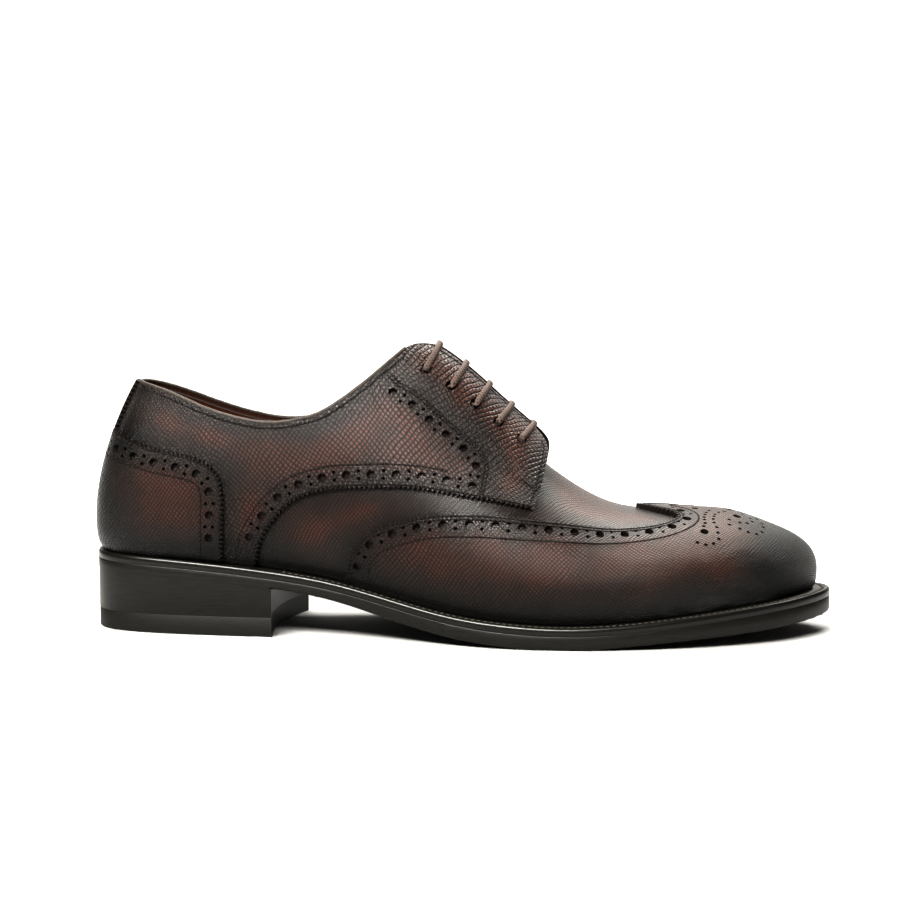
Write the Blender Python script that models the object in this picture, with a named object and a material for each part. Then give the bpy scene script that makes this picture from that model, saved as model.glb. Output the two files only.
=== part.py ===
"""A wing-tip derby dress shoe for the right foot, built over the surface of its last.

Every lasted piece is a flat pattern drawn on the last and given a thickness, and every sole piece is a
plate cut to the sole's outline. X runs from heel to toe, -Y is the outer side, +Z is up, and the origin
is under the middle of the shoe, on the floor.
"""

import math

import bmesh
import bpy
import numpy as np
from mathutils import Vector
from mathutils.geometry import delaunay_2d_cdt

MM = 0.001

# Driving dimensions, in millimetres
LENGTH = 308.0
BALL_WIDTH = 108.0
INSTEP_HEIGHT = 118.0
COLLAR_HEIGHT = 102.5
HEEL_HEIGHT = 25.0
TOE_SPRING = 8.2
OUTSOLE_THICKNESS = 6.0
WELT_THICKNESS = 3.2
WELT_FLANGE = 13.0
FEATHER_INSET = 8.5
FLANK_BULGE = 3.2
FLANK_RISE = 15.0
TOP_LIFT_THICKNESS = 8.0
TOP_LIFT_INSET = 0.4
HEEL_TAPER = 0.6
HEEL_TOP_INSET = 0.5
INSOLE_THICKNESS = 3.0
UPPER_WALL = 2.0
QUARTER_WALL = 1.3
WING_WALL = 1.3
COUNTER_WALL = 1.1
BACK_STRIP_WALL = 0.9
TONGUE_WALL = 2.2
CLEARANCE = 0.3
LASTED_CLEARANCE = 0.7
COUNTER_CLEARANCE = 0.85
TONGUE_CLEARANCE = 1.0
BREAST_HOLLOW = 4.0
SOLE_EDGE_ROUND = 1.2
ROUND_AT = 0.22
ROUND_BULGE = 0.2

# Throat, facings and lace, in millimetres
FACING_GAP = 6.0
THROAT_SLOT = 22.0
FACING_LIFT = 7.6
FACING_EDGE_BAND = 4.0
FACING_SLOPE = 33.0
EYELET_COUNT = 5
EYELET_DIAMETER = 4.4
EYELET_SETBACK = 16.5
LACE_ADVANCE = 2.5
LACE_DIAMETER = 2.8
TONGUE_WIDTH = 34.0
TONGUE_TOP_SHARE = 0.72
TONGUE_WIDENING = 0.6
BACK_STRIP_WIDTH = 9.0
BACK_STRIP_GAP = 1.2
COLLAR_TURN_IN = 1.0

# Places along the shoe, as shares of LENGTH from the back of the heel
BREAST_OUTER = 0.2516 * LENGTH
BREAST_INNER = 0.2760 * LENGTH
FLAT_SPOT = 0.6266 * LENGTH
QUARTER_TOP_CORNER = 0.4253 * LENGTH
FACING_RISE_START = 0.3506 * LENGTH
FACING_RISE_REACH = 0.1623 * LENGTH
FACING_TOP = 0.4578 * LENGTH
FACING_BOTTOM = 0.5779 * LENGTH
EYELET_FIRST = 0.4464 * LENGTH
EYELET_LAST = 0.5692 * LENGTH
TONGUE_TOP = 0.4464 * LENGTH
TONGUE_FOOT = 0.5909 * LENGTH
TONGUE_RISE_REACH = 0.0455 * LENGTH
THROAT_FRONT = 0.5714 * LENGTH

# A section's middle, which its normals point away from: its height as a share of the section's, and the
# least depth that it has near the toe and the heel, within this share of a half turn
MIDDLE_HEIGHT = 0.4
END_DEPTH = 0.0325 * LENGTH
END_TURN = 0.15

# Mesh fineness, in steps, points or millimetres
COLUMN_SAMPLES = 33
TURN_STEPS = 50
ACROSS_STEPS = 10
ACROSS_CROWDING = 1.35
LAST_STEP_U = 1 / TURN_STEPS
PLATE_STEP = 16.0
EDGE_STEP = 4.5
LACE_STEPS = 14
LACE_POINTS = 13
FACING_POINTS = 9
FACING_TOP_POINTS = 7
SLOT_POINTS = 6
TONGUE_POINTS = 13
TONGUE_END_POINTS = 8
SOLE_POINTS = 96
INSOLE_POINTS = 72
FLANGE_POINTS = 64
HEEL_POINTS = 13
BREAST_POINTS = 9
HOLE_SIDES = 8
TYPICAL_GIRTH = 100.0
NORMAL_STEP = 0.004

# Sole outline: share of LENGTH from the heel, then outer and inner edge as shares of BALL_WIDTH
OUTLINE_COLUMNS = ("along", "outer", "inner")
OUTLINE = (
    (0.000, -0.028, 0.028),
    (0.010, 0.091, 0.146),
    (0.045, 0.181, 0.236),
    (0.110, 0.236, 0.292),
    (0.190, 0.269, 0.319),
    (0.270, 0.292, 0.329),
    (0.350, 0.329, 0.319),
    (0.430, 0.384, 0.329),
    (0.510, 0.449, 0.384),
    (0.590, 0.491, 0.458),
    (0.660, 0.500, 0.495),
    (0.730, 0.481, 0.495),
    (0.800, 0.440, 0.458),
    (0.870, 0.366, 0.389),
    (0.930, 0.264, 0.301),
    (0.975, 0.130, 0.185),
    (1.000, -0.037, 0.037),
)

# Underside of the sole: share of LENGTH, height as shares of HEEL_HEIGHT and of TOE_SPRING, and the
# outsole's thickness as a share of OUTSOLE_THICKNESS
FLOOR_COLUMNS = ("along", "of_heel", "of_spring", "thickness")
FLOOR = (
    (0.00, 1.000, 0.00, 0.68),
    (0.13, 0.936, 0.00, 0.65),
    (0.26, 0.790, 0.00, 0.63),
    (0.33, 0.650, 0.00, 0.68),
    (0.41, 0.380, 0.00, 0.85),
    (0.49, 0.140, 0.00, 0.93),
    (0.57, 0.016, 0.00, 0.98),
    (0.64, -0.020, 0.00, 1.00),
    (0.72, 0.000, 0.13, 0.92),
    (0.82, 0.000, 0.43, 1.02),
    (0.92, 0.000, 0.70, 1.17),
    (1.00, 0.000, 1.00, 1.08),
)

# Last, low on its sides: share of LENGTH, then on the outer and the inner side the inset of the feather
# line from the sole's edge as a share of FEATHER_INSET, the bulge above it as a share of FLANK_BULGE, and
# the height at which the bulge is widest as a share of FLANK_RISE
FLANK_COLUMNS = ("along", "inset_outer", "inset_inner", "bulge_outer", "bulge_inner",
                 "rise_outer", "rise_inner")
FLANK = (
    (0.00, 0.71, 0.71, 0.91, 0.91, 0.87, 0.87),
    (0.06, 0.73, 0.73, 0.94, 0.94, 0.93, 0.93),
    (0.15, 0.78, 0.78, 0.94, 1.06, 1.00, 1.07),
    (0.25, 0.80, 0.73, 0.94, 1.50, 1.07, 1.33),
    (0.35, 0.82, 0.66, 1.00, 2.25, 1.07, 1.47),
    (0.45, 0.89, 0.71, 1.00, 2.37, 1.00, 1.40),
    (0.55, 0.96, 0.87, 0.87, 1.62, 0.87, 1.13),
    (0.65, 1.00, 0.96, 0.75, 1.06, 0.80, 0.93),
    (0.78, 1.00, 1.00, 0.69, 0.75, 0.73, 0.80),
    (0.90, 1.04, 1.04, 0.59, 0.59, 0.67, 0.67),
    (1.00, 1.06, 1.06, 0.50, 0.50, 0.53, 0.53),
)

# Last, its ridge: share of LENGTH, height as a share of INSTEP_HEIGHT, and sideways place as a share of
# BALL_WIDTH. Behind the throat it is the cone of the last, above the collar.
RIDGE_COLUMNS = ("along", "height", "aside")
RIDGE = (
    (0.080, 1.000, 0.028),
    (0.200, 1.035, 0.022),
    (0.300, 1.045, 0.018),
    (0.380, 1.035, 0.018),
    (0.432, 1.000, 0.022),
    (0.497, 0.856, 0.028),
    (0.545, 0.738, 0.032),
    (0.588, 0.640, 0.035),
    (0.614, 0.583, 0.037),
    (0.668, 0.486, 0.038),
    (0.700, 0.447, 0.039),
    (0.735, 0.427, 0.040),
    (0.775, 0.421, 0.040),
    (0.820, 0.414, 0.040),
    (0.860, 0.407, 0.040),
    (0.905, 0.372, 0.040),
)

# Last, the fullness of its sections: share of LENGTH, then how far each section keeps its side upright and
# its top level, as shares of the section's height and half width
FULLNESS_COLUMNS = ("along", "side", "top")
FULLNESS = (
    (0.00, 0.42, 0.30),
    (0.10, 0.48, 0.36),
    (0.25, 0.58, 0.44),
    (0.35, 0.55, 0.42),
    (0.45, 0.45, 0.36),
    (0.55, 0.44, 0.42),
    (0.65, 0.50, 0.50),
    (0.78, 0.56, 0.55),
    (0.90, 0.58, 0.55),
    (1.00, 0.58, 0.50),
)
RIDGE_BACK_SHIFT = 0.1169 * LENGTH
RIDGE_FRONT_SHIFT = 0.0974 * LENGTH
RIDGE_SHIFT_REACH = 0.25
SLOPE_STEP = 0.002

# Last, its curve from the feather line out to the bulge: how far it leaves level and arrives upright, as
# shares of the bulge and of its rise
FOOT_OUT = 0.75
FOOT_UP = 0.12
BULGE_UP = 0.5

# Collar: share of LENGTH, then its height on the outer and the inner side. Behind the ankle it follows
# COLLAR_HEIGHT, and towards the facings it passes over to INSTEP_HEIGHT, so each height is a sum of both.
COLLAR_COLUMNS = ("along", "of_collar_outer", "of_collar_inner", "of_instep_outer", "of_instep_inner")
COLLAR = (
    (0.030, 1.015, 1.015, 0.000, 0.000),
    (0.054, 1.000, 1.000, 0.000, 0.000),
    (0.096, 0.972, 0.965, 0.000, 0.000),
    (0.156, 0.725, 0.716, 0.157, 0.155),
    (0.213, 0.516, 0.504, 0.299, 0.292),
    (0.250, 0.424, 0.411, 0.369, 0.357),
    (0.287, 0.302, 0.290, 0.488, 0.468),
    (0.315, 0.178, 0.170, 0.617, 0.591),
    (0.343, 0.094, 0.090, 0.733, 0.704),
    (0.379, 0.000, 0.000, 0.884, 0.860),
    (0.412, 0.000, 0.000, 0.951, 0.938),
    (0.440, 0.000, 0.000, 0.999, 0.999),
)

# Edges of the lasted pieces, drawn on the last: share of LENGTH of the column, and share of the way from
# the feather line (0) to the ridge (1)
QUARTER_LOWER_EDGE = (
    (0.228, 0.000), (0.234, 0.066), (0.239, 0.120), (0.251, 0.180), (0.272, 0.255), (0.290, 0.293),
    (0.316, 0.326), (0.366, 0.362), (0.417, 0.393), (0.466, 0.428), (0.547, 0.490), (0.597, 0.520),
)
QUARTER_FRONT_EDGE = (
    (0.597, 0.520), (0.605, 0.650), (0.605, 0.760), (0.602, 0.850), (0.597, 0.900), (0.588, 0.940),
)
COUNTER_EDGE = (
    (0.186, 0.000), (0.187, 0.160), (0.186, 0.310), (0.179, 0.370), (0.161, 0.415), (0.135, 0.443),
    (0.102, 0.460), (0.058, 0.484), (0.018, 0.510), (0.000, 0.520),
)
WING_EDGE = (
    (0.346, 0.000), (0.350, 0.050), (0.354, 0.104), (0.366, 0.171), (0.385, 0.228), (0.412, 0.272),
    (0.437, 0.309), (0.466, 0.350), (0.504, 0.396), (0.543, 0.434), (0.582, 0.464), (0.634, 0.508),
    (0.688, 0.550), (0.733, 0.590), (0.768, 0.635), (0.785, 0.685), (0.794, 0.745), (0.789, 0.810),
    (0.770, 0.870), (0.753, 0.930), (0.737, 1.000),
)

# The grid on the last: turn runs from heel to toe, and across from the feather line over the ridge, with
# its steps closer together near the feather line, where the surface curves most
TURNS = [i * LAST_STEP_U for i in range(1 - TURN_STEPS // 3, TURN_STEPS + 1)]
UP = [(i / ACROSS_STEPS) ** ACROSS_CROWDING for i in range(ACROSS_STEPS + 1)]
ACROSS = [up - 1 for up in UP] + [1 - up for up in UP[-2::-1]]
LEAST_ACROSS = UP[1]


def columns(table, names):
    """The table's columns by name, as arrays."""
    return dict(zip(names, np.array(table, float).T))


def cubic(x, y):
    """A natural cubic curve through the points (x, y), held level outside them."""
    n = len(x)
    h = np.diff(x)
    system = np.eye(n)
    right = np.zeros(n)
    for i in range(1, n - 1):
        system[i, i - 1:i + 2] = h[i - 1], 2 * (h[i - 1] + h[i]), h[i]
        right[i] = 6 * ((y[i + 1] - y[i]) / h[i] - (y[i] - y[i - 1]) / h[i - 1])
    bend = np.linalg.solve(system, right)

    def value(at):
        at = np.clip(at, x[0], x[-1])
        i = np.clip(np.searchsorted(x, at) - 1, 0, n - 2)
        a = (x[i + 1] - at) / h[i]
        b = (at - x[i]) / h[i]
        return (a * y[i] + b * y[i + 1]
                + ((a ** 3 - a) * bend[i] + (b ** 3 - b) * bend[i + 1]) * h[i] ** 2 / 6)

    return value


def turn_of(along):
    """The share of a half turn at which a point this far along the shoe lies, so that both ends are round."""
    return np.arccos(1 - 2 * np.clip(along, 0, 1)) / math.pi


def along_of(turn):
    return (1 - np.cos(math.pi * turn)) / 2


def loop_curve(along, outer, inner):
    """A smooth closed curve round the shoe, as a function of turn (0 heel, 1 toe) and side (-1 outer)."""
    turn = turn_of(along)
    angle = np.concatenate([-turn[::-1], turn[1:]])
    value = np.concatenate([outer[::-1], inner[1:]])
    wraps = 3
    angle = np.concatenate([angle[-wraps - 1:-1] - 2, angle, angle[1:wraps + 1] + 2])
    value = np.concatenate([value[-wraps - 1:-1], value, value[1:wraps + 1]])
    curve = cubic(angle, value)
    return lambda turn, side: curve(np.where(side < 0, -turn, turn))


class Last:
    """The surface that the upper is pulled over, from the tables above."""

    def __init__(self):
        self.cache = {}
        outline = columns(OUTLINE, OUTLINE_COLUMNS)
        self.edge_y = loop_curve(
            outline["along"], -outline["outer"] * BALL_WIDTH, outline["inner"] * BALL_WIDTH
        )
        floor = columns(FLOOR, FLOOR_COLUMNS)
        height = floor["of_heel"] * HEEL_HEIGHT + floor["of_spring"] * TOE_SPRING
        self.floor_curve = cubic(floor["along"], height)
        self.outsole_curve = cubic(floor["along"], floor["thickness"] * OUTSOLE_THICKNESS)
        flank = columns(FLANK, FLANK_COLUMNS)
        self.inset, self.bulge, self.rise = (
            loop_curve(flank["along"], flank[what + "_outer"] * size, flank[what + "_inner"] * size)
            for what, size in (("inset", FEATHER_INSET), ("bulge", FLANK_BULGE), ("rise", FLANK_RISE))
        )
        ridge = columns(RIDGE, RIDGE_COLUMNS)
        self.ridge_z = cubic(ridge["along"], ridge["height"] * INSTEP_HEIGHT)
        self.ridge_y = cubic(ridge["along"], ridge["aside"] * BALL_WIDTH)
        fullness = columns(FULLNESS, FULLNESS_COLUMNS)
        self.side_hold = cubic(fullness["along"], fullness["side"])
        self.top_hold = cubic(fullness["along"], fullness["top"])
        collar = columns(COLLAR, COLLAR_COLUMNS)
        self.collar_z = {
            side: cubic(
                collar["along"],
                collar["of_collar_" + name] * COLLAR_HEIGHT + collar["of_instep_" + name] * INSTEP_HEIGHT,
            )
            for side, name in ((-1, "outer"), (1, "inner"))
        }

    def underside(self, x):
        """Height of the outsole's underside, which is flat on the floor under the ball."""
        return np.maximum(self.floor_curve(x / LENGTH), 0.0)

    def outsole_top(self, x):
        return self.floor_curve(x / LENGTH) + self.outsole_curve(x / LENGTH)

    def welt_top(self, x):
        return self.outsole_top(x) + CLEARANCE + WELT_THICKNESS

    def edge(self, turn, side, inset=0.0):
        """A point of the sole's outline, moved inwards by inset: arrays of x and y."""
        step = 1e-3
        x = LENGTH * along_of(turn)
        y = self.edge_y(turn, side)
        ahead = np.where(side < 0, -turn, turn) + step
        back = ahead - 2 * step
        dx = LENGTH * (along_of(np.abs(ahead)) - along_of(np.abs(back)))
        dy = self.loop_y(ahead) - self.loop_y(back)
        size = np.hypot(dx, dy)
        return x + inset * dy / size, y - inset * dx / size

    def loop_y(self, angle):
        angle = (angle + 1) % 2 - 1
        return self.edge_y(np.abs(angle), np.sign(angle))

    def ridge_x(self, along):
        back = np.clip(1 - along / RIDGE_SHIFT_REACH, 0, 1)
        front = np.clip(1 - (1 - along) / RIDGE_SHIFT_REACH, 0, 1)
        return LENGTH * along + RIDGE_BACK_SHIFT * back ** 2 - RIDGE_FRONT_SHIFT * front ** 2

    def column(self, turn, side):
        """Points of one column, from the feather line to the ridge: an array of COLUMN_SAMPLES rows."""
        along = along_of(turn)
        inset = self.inset(turn, side)
        foot = np.array([*self.edge(turn, side, inset), 0.0])
        foot[2] = self.welt_top(foot[0]) + CLEARANCE
        wide = np.array([*self.edge(turn, side, inset - self.bulge(turn, side)), 0.0])
        wide[2] = foot[2] + self.rise(turn, side)
        x = self.ridge_x(along)
        ridge = np.array([x, self.ridge_y(x / LENGTH), self.ridge_z(x / LENGTH)])
        ahead, behind = self.ridge_z(x / LENGTH + SLOPE_STEP), self.ridge_z(x / LENGTH - SLOPE_STEP)
        slope = (ahead - behind) / (2 * SLOPE_STEP * LENGTH)
        outward = wide - foot
        up = np.array([0.0, 0.0, 1.0])
        low = bezier(
            foot,
            foot + outward * [FOOT_OUT, FOOT_OUT, FOOT_UP],
            wide - up * BULGE_UP * outward[2],
            wide,
            COLUMN_SAMPLES // 3,
        )
        out = wide - ridge
        reach = self.top_hold(along) * np.array([out[0], out[1], slope * out[0]])
        high = bezier(
            wide,
            wide - up * self.side_hold(along) * out[2],
            ridge + reach,
            ridge,
            COLUMN_SAMPLES - COLUMN_SAMPLES // 3 + 1,
        )
        return np.vstack([low, high[1:]])

    def point(self, turn, across):
        """The surface point at turn (0 heel, 1 toe) and across (-1 outer feather, 0 ridge, 1 inner)."""
        if turn > 1:
            turn, across = 2 - turn, -across
        if turn < 0:
            turn, across = -turn, -across
        line = self.column_at(round(turn, 6), -1 if across < 0 else 1)
        girth = line[1]
        want = (1 - abs(across)) * girth[-1]
        return np.array([np.interp(want, girth, line[0][:, axis]) for axis in range(3)])

    def column_at(self, turn, side):
        key = (turn, side)
        if key not in self.cache:
            points = self.column(turn, side)
            steps = np.linalg.norm(np.diff(points, axis=0), axis=1)
            self.cache[key] = points, np.concatenate([[0.0], np.cumsum(steps)])
        return self.cache[key]

    def normal(self, turn, across):
        """The outward direction there."""
        step = NORMAL_STEP
        towards_middle = -step if turn > 0.5 else step
        ring = self.point(turn, across) - self.point(turn + towards_middle, across)
        ring *= 1 if turn > 0.5 else -1
        girth = self.point(turn, across + step) - self.point(turn, across - step)
        normal = np.cross(ring, girth)
        size = np.linalg.norm(normal)
        if size < 1e-6:
            tip = self.point(turn, step * 4) - self.point(turn, 0)
            normal = np.cross(tip, [0.0, 1.0, 0.0])
            size = np.linalg.norm(normal)
        normal = normal / size
        return -normal if normal @ self.out_of(turn, across) < 0 else normal

    def out_of(self, turn, across):
        """A rough outward direction, to turn a normal by: away from the middle of the section."""
        here = self.point(turn, across)
        foot_outer, foot_inner = self.point(turn, -1), self.point(turn, 1)
        top = self.point(turn, 0)
        foot = (foot_outer + foot_inner) / 2
        middle = (foot + top) / 2
        middle[2] = foot[2] + MIDDLE_HEIGHT * (top[2] - foot[2])
        if turn > 1 - END_TURN:
            middle[0] = min(middle[0], top[0] - END_DEPTH)
        if turn < END_TURN:
            middle[0] = max(middle[0], top[0] + END_DEPTH)
        return here - middle

    def lifted(self, turn, across, height):
        """A point this high over the surface. Where the last tucks in above the feather line, it is moved
        level, so that each piece stands on the welt."""
        normal = self.normal(turn, across)
        if normal[2] < 0:
            normal[2] = 0.0
            normal /= np.linalg.norm(normal)
        return self.point(turn, across) + height * normal

    def across_at_height(self, turn, side, line, drop=0.0):
        """Where the column crosses the height line(along) less drop, as a value of across."""
        points, girth = self.column_at(round(float(turn), 6), side)
        above = points[:, 2] + drop - line(points[:, 0] / LENGTH)
        crossings = np.nonzero((above[:-1] < 0) & (above[1:] >= 0))[0]
        i = crossings[0]
        share = -above[i] / (above[i + 1] - above[i])
        at = girth[i] + share * (girth[i + 1] - girth[i])
        return side * (1 - at / girth[-1])

    def across_at_distance(self, turn, side, distance):
        """Across at this distance from the ridge, measured along the surface."""
        girth = self.column_at(round(float(turn), 6), side)[1]
        return side * distance / girth[-1]


def bezier(a, b, c, d, count):
    t = np.linspace(0, 1, count)[:, None]
    return (1 - t) ** 3 * a + 3 * t * (1 - t) ** 2 * b + 3 * t ** 2 * (1 - t) * c + t ** 3 * d


def turn_for_ridge(last, x):
    """The column whose ridge point lies at x."""
    along = np.linspace(0, 1, 2001)
    return float(turn_of(np.interp(x, last.ridge_x(along), along)))


def facing_lift(last, turn, across):
    """How far the quarters stand off the tongue beside the ridge, where the laces bridge it."""
    x = last.ridge_x(along_of(turn))
    girth = last.column_at(round(float(turn), 6), -1 if across < 0 else 1)[1][-1]
    from_ridge = abs(across) * girth
    beside = eased(1 - (from_ridge - FACING_EDGE_BAND) / FACING_SLOPE)
    return FACING_LIFT * beside * eased((x - FACING_RISE_START) / FACING_RISE_REACH)


def eased(share):
    """0 to 1 with a level start and end."""
    share = np.clip(share, 0, 1)
    return share ** 2 * (3 - 2 * share)


def smooth_line(points, step):
    """The points joined by a curve, resampled about every step millimetres of shoe."""
    points = np.array(points, float)
    size = np.linalg.norm(np.diff(points, axis=0) * [LENGTH, TYPICAL_GIRTH], axis=1)
    run = np.concatenate([[0], np.cumsum(size)])
    if len(points) > 2:
        first, second = cubic(run, points[:, 0]), cubic(run, points[:, 1])
    else:
        def first(at):
            return np.interp(at, run, points[:, 0])

        def second(at):
            return np.interp(at, run, points[:, 1])
    count = max(2, round(run[-1] / step) + 1)
    at = np.linspace(0, run[-1], count)
    return np.stack([first(at), second(at)], axis=1)


def drawn(edge, side, step=EDGE_STEP):
    """An edge table as (turn, across) points on one side."""
    line = smooth_line(edge, step)
    return [(float(turn_of(a)), side * (1 - float(np.clip(up, 0, 1)))) for a, up in line]


def between(start, end, values, least):
    """The grid values that lie between start and end, in that order, not nearer to them than least."""
    low, high = sorted((start, end))
    found = [value for value in values if low + least < value < high - least]
    return found if start < end else found[::-1]


def resampled(corners):
    """A run of straight lines between (turn, across) corners, with a point wherever it meets the grid."""
    made = []
    for (u0, v0), (u1, v1) in zip(corners[:-1], corners[1:]):
        made.append((u0, v0))
        if abs(u1 - u0) > 1e-6:
            steps = between(u0, u1, TURNS, 0.3 * LAST_STEP_U)
            made += [(u, v0 + (v1 - v0) * (u - u0) / (u1 - u0)) for u in steps]
        else:
            made += [(u0, v) for v in between(v0, v1, ACROSS, 0.3 * LEAST_ACROSS)]
    return made + [corners[-1]]


def inside(polygon, point):
    x, y = point
    odd = False
    for (x0, y0), (x1, y1) in zip(polygon, polygon[1:] + polygon[:1]):
        if (y0 > y) != (y1 > y) and x < (x1 - x0) * (y - y0) / (y1 - y0) + x0:
            odd = not odd
    return odd


def near(loops, point, least_u, least_v):
    u, v = point
    for loop in loops:
        for (u0, v0), (u1, v1) in zip(loop, loop[1:] + loop[:1]):
            a = np.array([(u1 - u0) / least_u, (v1 - v0) / least_v])
            b = np.array([(u - u0) / least_u, (v - v0) / least_v])
            share = np.clip(a @ b / max(a @ a, 1e-12), 0, 1)
            if np.linalg.norm(b - share * a) < 1:
                return True
    return False


def flat_pattern(outline, holes, grid, least_u, least_v):
    """Triangles of a flat pattern: its outline and holes, with the grid's points inside it."""
    loops = [outline, *holes]
    points = [p for loop in loops for p in loop]
    edges = []
    for loop in loops:
        start = len(edges)
        edges += [(start + i, start + (i + 1) % len(loop)) for i in range(len(loop))]
    for p in grid:
        if inside(outline, p) and not any(inside(h, p) for h in holes):
            if not near(loops, p, least_u, least_v):
                points.append(p)
    found = delaunay_2d_cdt([Vector(p) for p in points], edges, [], 0, 1e-7)
    flat = [tuple(v) for v in found[0]]
    faces = []
    for face in found[2]:
        middle = np.mean([flat[i] for i in face], axis=0)
        if inside(outline, middle) and not any(inside(h, middle) for h in holes):
            faces.append(tuple(face))
    return flat, faces


def solid_of(name, flat, faces, top, bottom, same, collection, material, rings=()):
    """A closed solid between the surfaces top(p) and bottom(p) over a flat pattern. Where same(p) gives
    one place for two flat points, as at the toe and the heel, they are one. rings are (share, bulge)
    pairs for extra edge loops between the bottom and the top."""
    index = {}
    place = []
    for p in flat:
        key = tuple(np.round(same(p), 6))
        index.setdefault(key, len(index))
        place.append(index[key])
    keys = list(index)
    faces = [tuple(place[i] for i in face) for face in faces]
    faces = [face for face in faces if len(set(face)) == 3]
    uppers = [np.array(top(p)) for p in keys]
    lowers = [np.array(bottom(p)) for p in keys]
    mesh = bmesh.new()
    high = [mesh.verts.new(p * MM) for p in uppers]
    low = [mesh.verts.new(p * MM) for p in lowers]
    used = {}
    for face in faces:
        for a, b in zip(face, face[1:] + face[:1]):
            used[(a, b)] = used.get((a, b), 0) + 1
    rim = [(a, b) for a, b in used if (b, a) not in used]
    for face in faces:
        mesh.faces.new([high[i] for i in face])
        mesh.faces.new([low[i] for i in reversed(face)])
    levels = [low]
    following = dict(rim)
    before = {b: a for a, b in rim}
    for share, bulge in rings:
        level = {}
        for a in following:
            tangent = uppers[following[a]] - uppers[before[a]]
            across = uppers[a] - lowers[a]
            out = np.cross(tangent, across)
            out[2] = 0.0
            out /= np.linalg.norm(out)
            spot = lowers[a] + share * across + bulge * out
            level[a] = mesh.verts.new(spot * MM)
        levels.append(level)
    levels.append(high)
    for lower, upper in zip(levels[:-1], levels[1:]):
        for a, b in rim:
            mesh.faces.new([lower[a], lower[b], upper[b], upper[a]])
    bmesh.ops.triangulate(mesh, faces=[f for f in mesh.faces if len(f.verts) > 3])
    bmesh.ops.recalc_face_normals(mesh, faces=mesh.faces)
    if mesh.calc_volume(signed=True) < 0:
        bmesh.ops.reverse_faces(mesh, faces=mesh.faces)
    data = bpy.data.meshes.new(name)
    mesh.to_mesh(data)
    mesh.free()
    data.shade_smooth()
    data.set_sharp_from_angle(angle=math.radians(40))
    data.materials.append(material)
    made = bpy.data.objects.new(name, data)
    made.location.x = -LENGTH / 2 * MM
    collection.objects.link(made)
    return made


def last_grid():
    """Grid points of the last's surface. Those at negative turn go round the heel to the inner side."""
    return [(u, v) for u in TURNS for v in ACROSS if u >= 0 or v < 0]


def one_at_ends(p):
    """The outer and the inner column are one at the toe's tip and at the back of the heel."""
    u, v = p
    return (u, -abs(v)) if abs(u) < 1e-6 or u > 1 - 1e-6 else (u, v)


def lasted(name, outline, inner, outer, last, collection, material, holes=(), lift=None):
    """A leather piece between two heights over the last."""
    flat, faces = flat_pattern(outline, list(holes), last_grid(), LAST_STEP_U * 0.4, LEAST_ACROSS * 0.5)

    def raised(height):
        def place(p):
            extra = lift(last, p[0], p[1]) if lift else 0.0
            return last.lifted(p[0], p[1], height + extra)
        return place

    return solid_of(name, flat, faces, raised(outer), raised(inner), one_at_ends, collection, material)


def collar_line(last, side, start, end, drop=0.0):
    """The collar on one side, from column start to column end, as (turn, across) points."""
    count = max(2, round(abs(end - start) / LAST_STEP_U * 1.5))
    height = last.collar_z[side]
    made = []
    for turn in np.linspace(start, end, count):
        made.append((float(turn), float(last.across_at_height(turn, side, height, drop))))
    return made


def collar_corner(last, side):
    """The column in which the collar reaches the quarter's top corner."""
    for turn in np.linspace(0.3, 0.5, 201):
        across = last.across_at_height(turn, side, last.collar_z[side])
        if last.point(turn, across)[0] >= QUARTER_TOP_CORNER:
            return float(turn)
    raise ValueError("the collar doesn't reach the quarter's top corner")


def make_upper(last, collection, material):
    front = turn_for_ridge(last, THROAT_FRONT)
    opening = {}
    for side in (-1, 1):
        corner = collar_corner(last, side)
        collar = collar_line(last, side, 0.0, corner, drop=COLLAR_TURN_IN)
        slot_turns = np.linspace(corner + LAST_STEP_U, front - LAST_STEP_U / 2, SLOT_POINTS)
        slot = [
            (float(t), float(last.across_at_distance(t, side, THROAT_SLOT / 2))) for t in slot_turns
        ]
        opening[side] = collar + slot
    outline = resampled([(0.0, -1.0), (1.0, -1.0), (1.0, 1.0), (0.0, 1.0)])
    outer_start = opening[-1][0]
    inner_start = (0.0, -outer_start[1])
    opening[1][0] = inner_start
    outline += resampled([(0.0, 1.0), inner_start])[1:-1]
    outline += opening[1] + [(front, 0.0)] + opening[-1][::-1]
    outline += resampled([outer_start, (0.0, -1.0)])[1:-1]
    return lasted("upper", outline, -UPPER_WALL, 0.0, last, collection, material)


def facing_line(last, side):
    start = turn_for_ridge(last, FACING_TOP)
    end = turn_for_ridge(last, FACING_BOTTOM)
    return [
        (float(t), float(last.across_at_distance(t, side, FACING_GAP / 2)))
        for t in np.linspace(start, end, FACING_POINTS)
    ]


def eyelet_places(last, side):
    """Centre of each eyelet on one side, as (turn, across)."""
    places = []
    for x in np.linspace(EYELET_FIRST, EYELET_LAST, EYELET_COUNT):
        turn = turn_for_ridge(last, x)
        places.append((turn, float(last.across_at_distance(turn, side, EYELET_SETBACK))))
    return places


def round_hole(last, place, diameter, sides=HOLE_SIDES):
    """A circle on the last's surface, as (turn, across) points."""
    turn, across = place
    step = NORMAL_STEP
    along_mm = np.linalg.norm(last.point(turn + step, across) - last.point(turn - step, across)) / (2 * step)
    across_mm = np.linalg.norm(last.point(turn, across + step) - last.point(turn, across - step)) / (2 * step)
    return [
        (
            turn + diameter / 2 * math.cos(2 * math.pi * i / sides) / along_mm,
            across + diameter / 2 * math.sin(2 * math.pi * i / sides) / across_mm,
        )
        for i in range(sides)
    ]


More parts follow.
